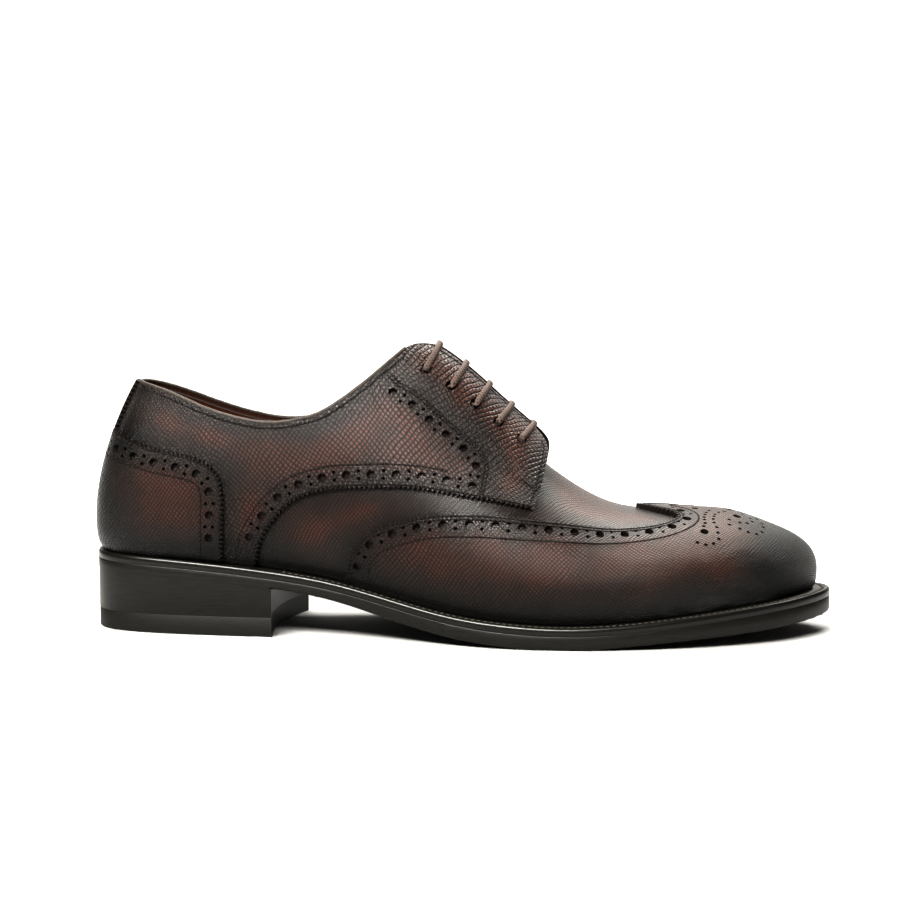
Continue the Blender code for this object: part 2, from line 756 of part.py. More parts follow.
def make_quarter(name, side, last, collection, material):
    corner = collar_corner(last, side)
    seam = CLEARANCE / 2 / np.linalg.norm(last.point(0.01, side * 0.6) - last.point(0.0, side * 0.6)) * 0.01
    collar = collar_line(last, side, seam, corner)
    lower = drawn(QUARTER_LOWER_EDGE, side)
    front = drawn(QUARTER_FRONT_EDGE, side)[1:]
    facing = facing_line(last, side)[::-1]
    seat = resampled([(seam, float(side)), lower[0]])
    top = [tuple(map(float, p)) for p in np.linspace(facing[-1], collar[-1], FACING_TOP_POINTS)[1:-1]]
    outline = seat[:-1] + lower + front + facing + top + collar[::-1]
    outline += resampled([collar[0], (seam, float(side))])[1:-1]
    holes = [round_hole(last, place, EYELET_DIAMETER) for place in eyelet_places(last, side)]
    return lasted(
        name, outline, LASTED_CLEARANCE, LASTED_CLEARANCE + QUARTER_WALL, last, collection, material,
        holes, facing_lift,
    )


def round_heel(edge):
    """An edge table that ends at the back of the heel, carried on round it: the inner side continues the
    outer one at negative turn."""
    outer = drawn(edge, -1)
    return outer + [(-turn, across) for turn, across in outer[-2::-1]]


def make_counter(last, collection, material):
    upper_edge = round_heel(COUNTER_EDGE)
    outline = upper_edge + resampled([upper_edge[-1], upper_edge[0]])[1:-1]
    low = LASTED_CLEARANCE + QUARTER_WALL + COUNTER_CLEARANCE
    return lasted("heel_counter", outline, low, low + COUNTER_WALL, last, collection, material)


def make_back_strip(last, collection, material):
    """The narrow strip over the back seam, from the heel counter to the collar."""
    foot = -(1 - COUNTER_EDGE[-1][1])
    half = BACK_STRIP_WIDTH / 2 / np.linalg.norm(last.point(0.02, foot) - last.point(0.0, foot)) * 0.02
    above_counter = foot + BACK_STRIP_GAP / last.column_at(0.0, -1)[1][-1]
    outer = [(half, above_counter), (half, collar_line(last, -1, half, half)[0][1])]
    inner = [(-half, collar_line(last, 1, half, half)[0][1] * -1), (-half, above_counter)]
    outline = resampled(outer + inner + outer[:1])[:-1]
    low = LASTED_CLEARANCE + QUARTER_WALL + COUNTER_CLEARANCE
    return lasted("back_strip", outline, low, low + BACK_STRIP_WALL, last, collection, material)


def make_wing(last, collection, material):
    outer = drawn(WING_EDGE, -1)
    inner = drawn(WING_EDGE, 1)
    outline = resampled([outer[0], (1.0, -1.0), (1.0, 1.0), inner[0]])[:-1]
    outline += inner + outer[::-1][1:-1]
    low = LASTED_CLEARANCE
    return lasted("wing_cap", outline, low, low + WING_WALL, last, collection, material)


def tongue_lift(last, turn, across):
    """The tongue leaves the vamp at its foot and lies close under the facings."""
    risen = eased((TONGUE_FOOT - last.ridge_x(along_of(turn))) / TONGUE_RISE_REACH)
    under = facing_lift(last, turn, across) - TONGUE_WALL - TONGUE_CLEARANCE
    return risen * max(0.0, under)


def make_tongue(last, collection, material):
    start = turn_for_ridge(last, TONGUE_TOP)
    end = turn_for_ridge(last, TONGUE_FOOT)
    edges = {}
    for side in (-1, 1):
        turns = np.linspace(start, end, TONGUE_POINTS)
        shares = np.minimum(1.0, TONGUE_TOP_SHARE + TONGUE_WIDENING * (turns - start) / (end - start))
        edges[side] = [
            (float(t), float(last.across_at_distance(t, side, TONGUE_WIDTH / 2 * share)))
            for t, share in zip(turns, shares)
        ]
    count = TONGUE_END_POINTS
    foot = [(end, float(v)) for v in np.linspace(edges[-1][-1][1], edges[1][-1][1], count)[1:-1]]
    top = [(start, float(v)) for v in np.linspace(edges[1][0][1], edges[-1][0][1], count)[1:-1]]
    outline = edges[-1] + foot + edges[1][::-1] + top
    low = LASTED_CLEARANCE
    return lasted("tongue", outline, low, low + TONGUE_WALL, last, collection, material, (), tongue_lift)


def outline_points(last, inset, count=SOLE_POINTS):
    """The sole's outline moved inwards, as x and y, from the heel along the outer side and back."""
    made = []
    for i in range(count):
        angle = -2 * i / count
        turn, side = (-angle, -1) if angle > -1 else (2 + angle, 1)
        x, y = last.edge(turn, side, inset(turn, side) if callable(inset) else inset)
        made.append((float(x), float(y)))
    return made


def plate(name, outline, holes, top_z, bottom_z, collection, material, rings=(), bottom_inset=0.0,
          step=PLATE_STEP):
    """A plate between two heights that vary along the shoe."""
    grid = [
        (x, y)
        for x in np.arange((FLAT_SPOT + step / 2) % step, LENGTH, step)
        for y in np.arange(-BALL_WIDTH / 2, BALL_WIDTH / 2 + 1, step)
    ]
    flat, faces = flat_pattern(outline, holes, grid, step * 0.45, step * 0.45)
    centre = np.mean(outline, axis=0)

    def top(p):
        return p[0], p[1], float(top_z(p[0]))

    def bottom(p):
        x, y = p
        if bottom_inset and any(math.dist(p, q) < 1e-4 for q in outline):
            away = np.array([x - centre[0], y - centre[1]])
            reach = np.linalg.norm(away)
            x, y = np.array([x, y]) - away / reach * bottom_inset
        return x, y, float(bottom_z(p[0]))

    return solid_of(name, flat, faces, top, bottom, lambda p: p, collection, material, rings)


def heel_outline(last, inset):
    """The heel's plan: the sole's outline behind the breast, and the hollow curve of the breast."""
    start = turn_of(BREAST_OUTER / LENGTH)
    end = turn_of(BREAST_INNER / LENGTH)
    outer = [last.edge(t, -1, inset) for t in np.linspace(float(start), 0, HEEL_POINTS)]
    inner = [last.edge(t, 1, inset) for t in np.linspace(0, float(end), HEEL_POINTS)[1:]]
    made = [(float(x), float(y)) for x, y in outer + inner]
    a, b = np.array(made[-1]), np.array(made[0])
    across = (b - a) / np.linalg.norm(b - a)
    back = np.array([-across[1], across[0]])
    if back[0] > 0:
        back = -back
    for share in np.linspace(0, 1, BREAST_POINTS)[1:-1]:
        hollow = BREAST_HOLLOW * 4 * share * (1 - share)
        made.append(tuple(map(float, a + (b - a) * share + back * hollow)))
    return made


def make_material(name, colour, roughness):
    material = bpy.data.materials.new(name)
    material.use_nodes = True
    shader = material.node_tree.nodes["Principled BSDF"]
    shader.inputs["Base Color"].default_value = (*colour, 1.0)
    shader.inputs["Roughness"].default_value = roughness
    shader.inputs["Metallic"].default_value = 0.0
    return material


def lace_bar(name, last, index, collection, material):
    """One straight crossing of the lace, from eyelet to eyelet over the facings."""
    over = LASTED_CLEARANCE + QUARTER_WALL + LACE_DIAMETER / 2 + LASTED_CLEARANCE
    route = []
    ends = [eyelet_places(last, side)[index] for side in (-1, 1)]
    for share in np.linspace(0, 1, LACE_POINTS):
        across = ends[0][1] + (ends[1][1] - ends[0][1]) * share
        middle = 1 - (across / ends[0][1]) ** 2
        turn = ends[0][0] + LACE_ADVANCE * middle / LENGTH * 2 / math.pi
        height = over + facing_lift(last, turn, across)
        route.append(last.lifted(turn, across, height))
    dips = [
        [at - last.normal(*place) * depth for depth in (over / 2, over - LASTED_CLEARANCE)]
        for at, place in zip((route[0], route[-1]), ends)
    ]
    route = np.array([*dips[0][::-1], *route, *dips[1]])
    run = np.concatenate([[0], np.cumsum(np.linalg.norm(np.diff(route, axis=0), axis=1))])
    at = np.linspace(0, run[-1], LACE_STEPS + 1)
    smooth = np.stack([cubic(run, route[:, axis])(at) for axis in range(3)], axis=1)
    data = bpy.data.curves.new(name, "CURVE")
    data.dimensions = "3D"
    data.bevel_depth = LACE_DIAMETER / 2 * MM
    data.bevel_resolution = 2
    data.use_fill_caps = True
    spline = data.splines.new("POLY")
    spline.points.add(len(smooth) - 1)
    for target, p in zip(spline.points, smooth):
        target.co = (*(p * MM), 1.0)
    data.materials.append(material)
    made = bpy.data.objects.new(name, data)
    made.location.x = -LENGTH / 2 * MM
    collection.objects.link(made)
    return made


def main():
    for old in list(bpy.data.objects):
        bpy.data.objects.remove(old, do_unlink=True)
    collection = bpy.context.scene.collection
    brown = make_material("brown_calf", (0.045, 0.022, 0.016), 0.38)
    dark = make_material("dark_calf", (0.02, 0.012, 0.01), 0.35)
    lining = make_material("lining_leather", (0.11, 0.045, 0.025), 0.6)
    sole = make_material("waxed_sole_leather", (0.012, 0.011, 0.010), 0.4)
    cord = make_material("waxed_cotton", (0.19, 0.14, 0.12), 0.7)
    last = Last()

    bottom = last.underside
    plate("outsole", outline_points(last, 0.0), [], last.outsole_top, bottom, collection, sole,
          rings=((ROUND_AT, SOLE_EDGE_ROUND * ROUND_BULGE),), bottom_inset=SOLE_EDGE_ROUND)

    def welt_low(x):
        return last.outsole_top(x) + CLEARANCE

    plate("welt", outline_points(last, 0.0), [outline_points(last, WELT_FLANGE, FLANGE_POINTS)[::-1]],
          last.welt_top, welt_low, collection, sole)
    stack_outline = heel_outline(last, HEEL_TOP_INSET)
    plate("heel_stack", stack_outline, [], lambda x: bottom(x) - CLEARANCE,
          lambda x: TOP_LIFT_THICKNESS + CLEARANCE, collection, sole, bottom_inset=HEEL_TAPER)
    plate("heel_top_lift", heel_outline(last, HEEL_TOP_INSET + TOP_LIFT_INSET), [],
          lambda x: TOP_LIFT_THICKNESS, lambda x: 0.0, collection, sole)

    def insole_inset(turn, side):
        return last.inset(turn, side) + UPPER_WALL + CLEARANCE

    def insole_low(x):
        return last.welt_top(x) + CLEARANCE

    plate("insole", outline_points(last, insole_inset, INSOLE_POINTS), [],
          lambda x: insole_low(x) + INSOLE_THICKNESS, insole_low, collection, lining)
    make_upper(last, collection, brown)
    make_quarter("quarter_lateral", -1, last, collection, brown)
    make_quarter("quarter_medial", 1, last, collection, brown)
    make_counter(last, collection, dark)
    make_back_strip(last, collection, dark)
    make_wing(last, collection, dark)
    make_tongue(last, collection, lining)
    for index in range(EYELET_COUNT):
        lace_bar(f"lace_bar_{index + 1}", last, index, collection, cord)


main()
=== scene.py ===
# %% [markdown]
# # A wing-tip brogue
#
# The shoe is a derby: two quarters are laced over a tongue and a vamp, and a wing cap, a heel counter and a
# strip lie over them. Every leather piece starts as a flat pattern with its holes, is cut from a side of
# calf, and is pulled over a last. Here each piece is made in that order too, so its edges, its holes and its
# grain follow the foot.
#
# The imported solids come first. They fix the size and the place of everything below.

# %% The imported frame
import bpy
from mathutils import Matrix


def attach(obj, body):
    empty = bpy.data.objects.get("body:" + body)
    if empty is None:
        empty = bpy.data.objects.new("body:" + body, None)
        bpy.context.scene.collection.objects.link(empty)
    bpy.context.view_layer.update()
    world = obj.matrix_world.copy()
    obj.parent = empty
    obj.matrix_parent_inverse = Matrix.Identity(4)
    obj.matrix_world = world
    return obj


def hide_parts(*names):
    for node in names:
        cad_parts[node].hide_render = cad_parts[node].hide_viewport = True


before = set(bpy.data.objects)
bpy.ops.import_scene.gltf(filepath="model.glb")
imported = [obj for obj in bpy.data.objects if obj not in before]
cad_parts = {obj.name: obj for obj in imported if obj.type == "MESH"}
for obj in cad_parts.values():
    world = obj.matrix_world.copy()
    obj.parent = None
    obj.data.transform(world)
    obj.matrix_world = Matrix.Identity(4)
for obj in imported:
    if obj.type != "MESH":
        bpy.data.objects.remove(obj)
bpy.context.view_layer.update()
print("nodes:", ", ".join(sorted(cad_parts)))

# %% Modules and units
import math

import bmesh
import bpy
import numpy as np
from mathutils import Matrix, Vector, kdtree

MM = 0.001


def finished(name, mesh, *finishes, sharp=None):
    """A piece from a mesh under construction, with its materials."""
    data = bpy.data.meshes.new(name)
    mesh.to_mesh(data)
    mesh.free()
    data.shade_smooth()
    if sharp:
        data.set_sharp_from_angle(angle=math.radians(sharp))
    for finish in finishes:
        data.materials.append(finish)
    piece = bpy.data.objects.new(name, data)
    bpy.context.scene.collection.objects.link(piece)
    print(name, len(data.polygons), "faces")
    return piece


def run_along(points):
    """How far along a line of points each of them lies."""
    return np.concatenate([[0.0], np.cumsum(np.linalg.norm(np.diff(points, axis=0), axis=1))])


def unit(vectors):
    return vectors / np.linalg.norm(vectors, axis=-1, keepdims=True)


# %% [markdown]
# ## The camera
#
# The camera comes before any leather, because it says what shows. It stands a metre away and six degrees
# above the floor, as a product photographer's would, and a long lens keeps the toe and the heel in
# proportion. It could be aimed with a constraint, but a fixed direction is simpler to read and to keep.

# %% Camera
CAMERA_PLACE = Vector((56.1, -996.7, 179.5)) * MM
CAMERA_AIM = Vector((-4.6, -4.0, 75.0)) * MM
CAMERA_LENS = 96.0

camera = bpy.data.objects.new("camera", bpy.data.cameras.new("camera"))
camera.data.lens = CAMERA_LENS
camera.data.sensor_width = 36.0
camera.location = CAMERA_PLACE
camera.rotation_euler = (CAMERA_AIM - CAMERA_PLACE).to_track_quat("-Z", "Y").to_euler()
bpy.context.scene.collection.objects.link(camera)
bpy.context.scene.camera = camera
print("camera looks", [round(v, 3) for v in (CAMERA_AIM - CAMERA_PLACE).normalized()])

# %% [markdown]
# ## The last
#
# A last is the wooden form a shoe is built on. It could be sculpted, but a few tables of shares give the same
# form and stay editable: the outline of the sole, its rise and spring, the fullness of the sides and the line
# of the ridge from instep to toe. Curves between the rows do the rest. Lengths are in millimetres, with the
# heel's back at zero.

# %% Sizes of the last and the sole
LENGTH = 308.0
BALL_WIDTH = 108.0
INSTEP_HEIGHT = 118.0
COLLAR_HEIGHT = 102.5
HEEL_HEIGHT = 25.0
TOE_SPRING = 8.2
OUTSOLE_THICKNESS = 6.0
WELT_THICKNESS = 3.2
FEATHER_INSET = 8.5
FLANK_BULGE = 3.2
FLANK_RISE = 15.0
CLEARANCE = 0.3
COLUMN_SAMPLES = 120

# %% Tables of the last
# Sole outline: share of LENGTH from the heel, then outer and inner edge as shares of BALL_WIDTH
OUTLINE_COLUMNS = ("along", "outer", "inner")
OUTLINE = (
    (0.000, -0.028, 0.028),
    (0.010, 0.091, 0.146),
    (0.045, 0.181, 0.236),
    (0.110, 0.236, 0.292),
    (0.190, 0.269, 0.319),
    (0.270, 0.292, 0.329),
    (0.350, 0.329, 0.319),
    (0.430, 0.384, 0.329),
    (0.510, 0.449, 0.384),
    (0.590, 0.491, 0.458),
    (0.660, 0.500, 0.495),
    (0.730, 0.481, 0.495),
    (0.800, 0.440, 0.458),
    (0.870, 0.366, 0.389),
    (0.930, 0.264, 0.301),
    (0.975, 0.130, 0.185),
    (1.000, -0.037, 0.037),
)

# Underside of the sole: share of LENGTH, height as shares of HEEL_HEIGHT and of TOE_SPRING, and the
# outsole's thickness as a share of OUTSOLE_THICKNESS
FLOOR_COLUMNS = ("along", "of_heel", "of_spring", "thickness")
FLOOR = (
    (0.00, 1.000, 0.00, 0.68),
    (0.13, 0.936, 0.00, 0.65),
    (0.26, 0.790, 0.00, 0.63),
    (0.33, 0.650, 0.00, 0.68),
    (0.41, 0.380, 0.00, 0.85),
    (0.49, 0.140, 0.00, 0.93),
    (0.57, 0.016, 0.00, 0.98),
    (0.64, -0.020, 0.00, 1.00),
    (0.72, 0.000, 0.13, 0.92),
    (0.82, 0.000, 0.43, 1.02),
    (0.92, 0.000, 0.70, 1.17),
    (1.00, 0.000, 1.00, 1.08),
)

# Last, low on its sides: share of LENGTH, then on the outer and the inner side the inset of the feather
# line from the sole's edge as a share of FEATHER_INSET, the bulge above it as a share of FLANK_BULGE, and
# the height at which the bulge is widest as a share of FLANK_RISE
FLANK_COLUMNS = ("along", "inset_outer", "inset_inner", "bulge_outer", "bulge_inner",
                 "rise_outer", "rise_inner")
FLANK = (
    (0.00, 0.71, 0.71, 0.91, 0.91, 0.87, 0.87),
    (0.06, 0.73, 0.73, 0.94, 0.94, 0.93, 0.93),
    (0.15, 0.78, 0.78, 0.94, 1.06, 1.00, 1.07),
    (0.25, 0.80, 0.73, 0.94, 1.50, 1.07, 1.33),
    (0.35, 0.82, 0.66, 1.00, 2.25, 1.07, 1.47),
    (0.45, 0.89, 0.71, 1.00, 2.37, 1.00, 1.40),
    (0.55, 0.96, 0.87, 0.87, 1.62, 0.87, 1.13),
    (0.65, 1.00, 0.96, 0.75, 1.06, 0.80, 0.93),
    (0.78, 1.00, 1.00, 0.69, 0.75, 0.73, 0.80),
    (0.90, 1.04, 1.04, 0.59, 0.59, 0.67, 0.67),
    (1.00, 1.06, 1.06, 0.50, 0.50, 0.53, 0.53),
)

# Last, its ridge: share of LENGTH, height as a share of INSTEP_HEIGHT, and sideways place as a share of
# BALL_WIDTH. Behind the throat it is the cone of the last, above the collar.
RIDGE_COLUMNS = ("along", "height", "aside")
RIDGE = (
    (0.080, 1.000, 0.028),
    (0.200, 1.035, 0.022),
    (0.300, 1.045, 0.018),
    (0.380, 1.035, 0.018),
    (0.432, 1.000, 0.022),
    (0.497, 0.856, 0.028),
    (0.545, 0.738, 0.032),
    (0.588, 0.640, 0.035),
    (0.614, 0.583, 0.037),
    (0.668, 0.486, 0.038),
    (0.700, 0.447, 0.039),
    (0.735, 0.427, 0.040),
    (0.775, 0.421, 0.040),
    (0.820, 0.414, 0.040),
    (0.860, 0.407, 0.040),
    (0.905, 0.372, 0.040),
)

# Last, the fullness of its sections: share of LENGTH, then how far each section keeps its side upright and
# its top level, as shares of the section's height and half width
FULLNESS_COLUMNS = ("along", "side", "top")
FULLNESS = (
    (0.00, 0.42, 0.30),
    (0.10, 0.48, 0.36),
    (0.25, 0.58, 0.44),
    (0.35, 0.55, 0.42),
    (0.45, 0.45, 0.36),
    (0.55, 0.44, 0.42),
    (0.65, 0.50, 0.50),
    (0.78, 0.56, 0.55),
    (0.90, 0.58, 0.55),
    (1.00, 0.58, 0.50),
)
RIDGE_BACK_SHIFT = 0.1169 * LENGTH
RIDGE_FRONT_SHIFT = 0.0974 * LENGTH
RIDGE_SHIFT_REACH = 0.25
SLOPE_STEP = 0.002

# Last, its curve from the feather line out to the bulge: how far it leaves level and arrives upright, as
# shares of the bulge and of its rise
FOOT_OUT = 0.75
FOOT_UP = 0.12
BULGE_UP = 0.5

# Collar: share of LENGTH, then its height on the outer and the inner side. Behind the ankle it follows
# COLLAR_HEIGHT, and towards the facings it passes over to INSTEP_HEIGHT, so each height is a sum of both.
COLLAR_COLUMNS = ("along", "of_collar_outer", "of_collar_inner", "of_instep_outer", "of_instep_inner")
COLLAR = (
    (0.030, 1.015, 1.015, 0.000, 0.000),
    (0.054, 1.000, 1.000, 0.000, 0.000),
    (0.096, 0.972, 0.965, 0.000, 0.000),
    (0.156, 0.725, 0.716, 0.157, 0.155),
    (0.213, 0.516, 0.504, 0.299, 0.292),
    (0.250, 0.424, 0.411, 0.369, 0.357),
    (0.287, 0.302, 0.290, 0.488, 0.468),
    (0.315, 0.178, 0.170, 0.617, 0.591),
    (0.343, 0.094, 0.090, 0.733, 0.704),
    (0.379, 0.000, 0.000, 0.884, 0.860),
    (0.412, 0.000, 0.000, 0.951, 0.938),
    (0.440, 0.000, 0.000, 0.999, 0.999),
)

# %% Smooth curves through the tables
WRAPS = 3


def columns(table, names):
    """The table's columns by name, as arrays."""
    return dict(zip(names, np.array(table, float).T))


def cubic(x, y):
    """A natural cubic curve through the points (x, y), held level outside them."""
    n = len(x)
    h = np.diff(x)
    system = np.eye(n)
    right = np.zeros(n)
    for i in range(1, n - 1):
        system[i, i - 1:i + 2] = h[i - 1], 2 * (h[i - 1] + h[i]), h[i]
        right[i] = 6 * ((y[i + 1] - y[i]) / h[i] - (y[i] - y[i - 1]) / h[i - 1])
    bend = np.linalg.solve(system, right)

    def value(at):
        at = np.clip(at, x[0], x[-1])
        i = np.clip(np.searchsorted(x, at) - 1, 0, n - 2)
        a = (x[i + 1] - at) / h[i]
        b = (at - x[i]) / h[i]
        return (a * y[i] + b * y[i + 1]
                + ((a ** 3 - a) * bend[i] + (b ** 3 - b) * bend[i + 1]) * h[i] ** 2 / 6)

    return value


def turn_of(along):
    """The share of a half turn at which a point this far along the shoe lies, so that both ends are round."""
    return np.arccos(1 - 2 * np.clip(along, 0, 1)) / math.pi


def along_of(turn):
    return (1 - np.cos(math.pi * turn)) / 2


def loop_curve(along, outer, inner):
    """A smooth closed curve round the shoe, as a function of turn (0 heel, 1 toe) and side (-1 outer)."""
    turn = turn_of(along)
    angle = np.concatenate([-turn[::-1], turn[1:]])
    value = np.concatenate([outer[::-1], inner[1:]])
    angle = np.concatenate([angle[-WRAPS - 1:-1] - 2, angle, angle[1:WRAPS + 1] + 2])
    curve = cubic(angle, np.concatenate([value[-WRAPS - 1:-1], value, value[1:WRAPS + 1]]))
    return lambda turn, side: curve(np.where(side < 0, -turn, turn))


# %% The last as columns from the sole up to the ridge
TURN_STEP = 1e-3


class Last:
    """The surface that the upper is pulled over, from the tables above."""

    def __init__(self):
        outline = columns(OUTLINE, OUTLINE_COLUMNS)
        self.edge_y = loop_curve(outline["along"], -outline["outer"] * BALL_WIDTH,
                                 outline["inner"] * BALL_WIDTH)
        floor = columns(FLOOR, FLOOR_COLUMNS)
        height = floor["of_heel"] * HEEL_HEIGHT + floor["of_spring"] * TOE_SPRING
        self.floor_curve = cubic(floor["along"], height)
        self.outsole_curve = cubic(floor["along"], floor["thickness"] * OUTSOLE_THICKNESS)
        flank = columns(FLANK, FLANK_COLUMNS)
        self.inset, self.bulge, self.rise = (
            loop_curve(flank["along"], flank[what + "_outer"] * size, flank[what + "_inner"] * size)
            for what, size in (("inset", FEATHER_INSET), ("bulge", FLANK_BULGE), ("rise", FLANK_RISE)))
        ridge = columns(RIDGE, RIDGE_COLUMNS)
        self.ridge_z = cubic(ridge["along"], ridge["height"] * INSTEP_HEIGHT)
        self.ridge_y = cubic(ridge["along"], ridge["aside"] * BALL_WIDTH)
        fullness = columns(FULLNESS, FULLNESS_COLUMNS)
        self.side_hold = cubic(fullness["along"], fullness["side"])
        self.top_hold = cubic(fullness["along"], fullness["top"])
        collar = columns(COLLAR, COLLAR_COLUMNS)
        self.collar_z = {
            side: cubic(collar["along"], collar["of_collar_" + name] * COLLAR_HEIGHT
                        + collar["of_instep_" + name] * INSTEP_HEIGHT)
            for side, name in ((-1, "outer"), (1, "inner"))}

    def underside(self, x):
        """Height of the outsole's underside, which is flat on the floor under the ball."""
        return np.maximum(self.floor_curve(x / LENGTH), 0.0)

    def outsole_top(self, x):
        return self.floor_curve(x / LENGTH) + self.outsole_curve(x / LENGTH)

    def welt_top(self, x):
        return self.outsole_top(x) + CLEARANCE + WELT_THICKNESS

    def edge(self, turn, side, inset=0.0):
        """A point of the sole's outline, moved inwards by inset: arrays of x and y."""
        x = LENGTH * along_of(turn)
        y = self.edge_y(turn, side)
        ahead = np.where(side < 0, -turn, turn) + TURN_STEP
        back = ahead - 2 * TURN_STEP
        dx = LENGTH * (along_of(np.abs(ahead)) - along_of(np.abs(back)))
        dy = self.loop_y(ahead) - self.loop_y(back)
        size = np.hypot(dx, dy)
        return x + inset * dy / size, y - inset * dx / size

    def loop_y(self, angle):
        angle = (angle + 1) % 2 - 1
        return self.edge_y(np.abs(angle), np.sign(angle))

    def ridge_x(self, along):
        back = np.clip(1 - along / RIDGE_SHIFT_REACH, 0, 1)
        front = np.clip(1 - (1 - along) / RIDGE_SHIFT_REACH, 0, 1)
        return LENGTH * along + RIDGE_BACK_SHIFT * back ** 2 - RIDGE_FRONT_SHIFT * front ** 2

    def column(self, turn, side):
        """Points of one column, from the feather line to the ridge: an array of COLUMN_SAMPLES rows."""
        along = along_of(turn)
        inset = self.inset(turn, side)
        foot = np.array([*self.edge(turn, side, inset), 0.0])
        foot[2] = self.welt_top(foot[0]) + CLEARANCE
        wide = np.array([*self.edge(turn, side, inset - self.bulge(turn, side)), 0.0])
        wide[2] = foot[2] + self.rise(turn, side)
        x = self.ridge_x(along)
        ridge = np.array([x, self.ridge_y(x / LENGTH), self.ridge_z(x / LENGTH)])
        ahead, behind = self.ridge_z(x / LENGTH + SLOPE_STEP), self.ridge_z(x / LENGTH - SLOPE_STEP)
        slope = (ahead - behind) / (2 * SLOPE_STEP * LENGTH)
        outward = wide - foot
        up = np.array([0.0, 0.0, 1.0])
        low = bezier(foot, foot + outward * [FOOT_OUT, FOOT_OUT, FOOT_UP],
                     wide - up * BULGE_UP * outward[2], wide, COLUMN_SAMPLES // 3)
        out = wide - ridge
        reach = self.top_hold(along) * np.array([out[0], out[1], slope * out[0]])
        high = bezier(wide, wide - up * self.side_hold(along) * out[2], ridge + reach, ridge,
                      COLUMN_SAMPLES - COLUMN_SAMPLES // 3 + 1)
        return np.vstack([low, high[1:]])


def bezier(a, b, c, d, count):
    t = np.linspace(0, 1, count)[:, None]
    return (1 - t) ** 3 * a + 3 * t * (1 - t) ** 2 * b + 3 * t ** 2 * (1 - t) * c + t ** 3 * d


last = Last()
print("the ball is", round(float(last.edge_y(0.6, 1) - last.edge_y(0.6, -1))), "mm wide")

# %% [markdown]
# ## A chart of the last
#
# A pattern is flat and the last is not, so every point of a pattern needs its place on the form. The chart
# is that translation: its two directions are "turn", from heel (0) to toe (1), and "across", from the outer
# sole line (-1) over the ridge (0) to the inner one (1). Below zero, turn carries on round the heel. Asking
# the curves for each point would be slow, so they are asked once for a fine grid, and everything else is
# read between its points.

# %% The chart
TURN_LOW, TURN_HIGH, TURN_COUNT = -0.32, 1.02, 537
ACROSS_COUNT = 201
SOUND_SHARE = 0.02
TURN_REACH, ACROSS_REACH = 6, 8


def make_chart():
    """For each grid point: place, outward direction, distance from the ridge and the ridge's own x. Where
    the columns meet in one point, the direction is that of the points around it."""
    middle = ACROSS_COUNT // 2
    away = np.linspace(0, 1, middle + 1)
    grid = np.zeros((TURN_COUNT, ACROSS_COUNT, 8))
    for i, turn in enumerate(np.linspace(TURN_LOW, TURN_HIGH, TURN_COUNT)):
        real = 2 - turn if turn > 1 else abs(turn)
        for side in (-1, 1):
            points = last.column(real, side)
            girth = run_along(points)
            place = middle + np.arange(middle + 1) * (side if 0 <= turn <= 1 else -side)
            for axis in range(3):
                grid[i, place, axis] = np.interp(girth[-1] * (1 - away), girth, points[:, axis])
            grid[i, place, 6] = girth[-1] * away
            grid[i, place, 7] = last.ridge_x(along_of(real))
    outward = np.cross(np.gradient(grid[..., :3], axis=0), np.gradient(grid[..., :3], axis=1))
    size = np.linalg.norm(outward, axis=2, keepdims=True)
    weak = size[..., 0] < SOUND_SHARE * np.median(size)
    outward /= np.maximum(size, 1e-9)
    if outward[TURN_COUNT // 2, middle, 2] < 0:
        outward = -outward
    for i, j in np.argwhere(weak):
        near = outward[max(i - TURN_REACH, 0):i + TURN_REACH + 1:TURN_REACH,
                       max(j - ACROSS_REACH, 0):j + ACROSS_REACH + 1:ACROSS_REACH].reshape(-1, 3)
        outward[i, j] = near.sum(axis=0) / max(np.linalg.norm(near.sum(axis=0)), 1e-9)
    grid[..., 3:6] = outward
    return grid


chart = make_chart()


def read_chart(flat):
    """The chart's eight values at each (turn, across) point, read between its grid points."""
    flat = np.atleast_2d(np.asarray(flat, float))
    row = np.clip((flat[:, 0] - TURN_LOW) / (TURN_HIGH - TURN_LOW), 0, 1) * (TURN_COUNT - 1)
    column = np.clip((flat[:, 1] + 1) / 2, 0, 1) * (ACROSS_COUNT - 1)
    i = np.minimum(row.astype(int), TURN_COUNT - 2)
    j = np.minimum(column.astype(int), ACROSS_COUNT - 2)
    a, b = (row - i)[:, None], (column - j)[:, None]
    return ((1 - a) * (1 - b) * chart[i, j] + a * (1 - b) * chart[i + 1, j]
            + (1 - a) * b * chart[i, j + 1] + a * b * chart[i + 1, j + 1])


print("chart spans x", chart[..., 0].min().round(1), "to", chart[..., 0].max().round(1))

# %% [markdown]
# The quarters do not lie flat on the vamp. The tongue under them and the pull of the lace hold their inner
# edges up, most of all beside the throat, so points of the quarters and the tongue get an extra lift there.

# %% Placing a point over the last
FACING_LIFT = 7.6
FACING_EDGE_BAND = 4.0
FACING_SLOPE = 33.0
FACING_RISE_START = 0.3506 * LENGTH
FACING_RISE_REACH = 0.1623 * LENGTH


def eased(share):
    """0 to 1 with a level start and end."""
    share = np.clip(share, 0, 1)
    return share ** 2 * (3 - 2 * share)


def facing_lift(flat):
    read = read_chart(flat)
    beside = eased(1 - (read[:, 6] - FACING_EDGE_BAND) / FACING_SLOPE)
    return FACING_LIFT * beside * eased((read[:, 7] - FACING_RISE_START) / FACING_RISE_REACH)


def directions(flat):
    """Outward directions. Where the last tucks in above the sole, they are level, as the leather stands
    on the welt there."""
    outward = read_chart(flat)[:, 3:6]
    outward[:, 2] = np.maximum(outward[:, 2], 0.0)
    return unit(outward)


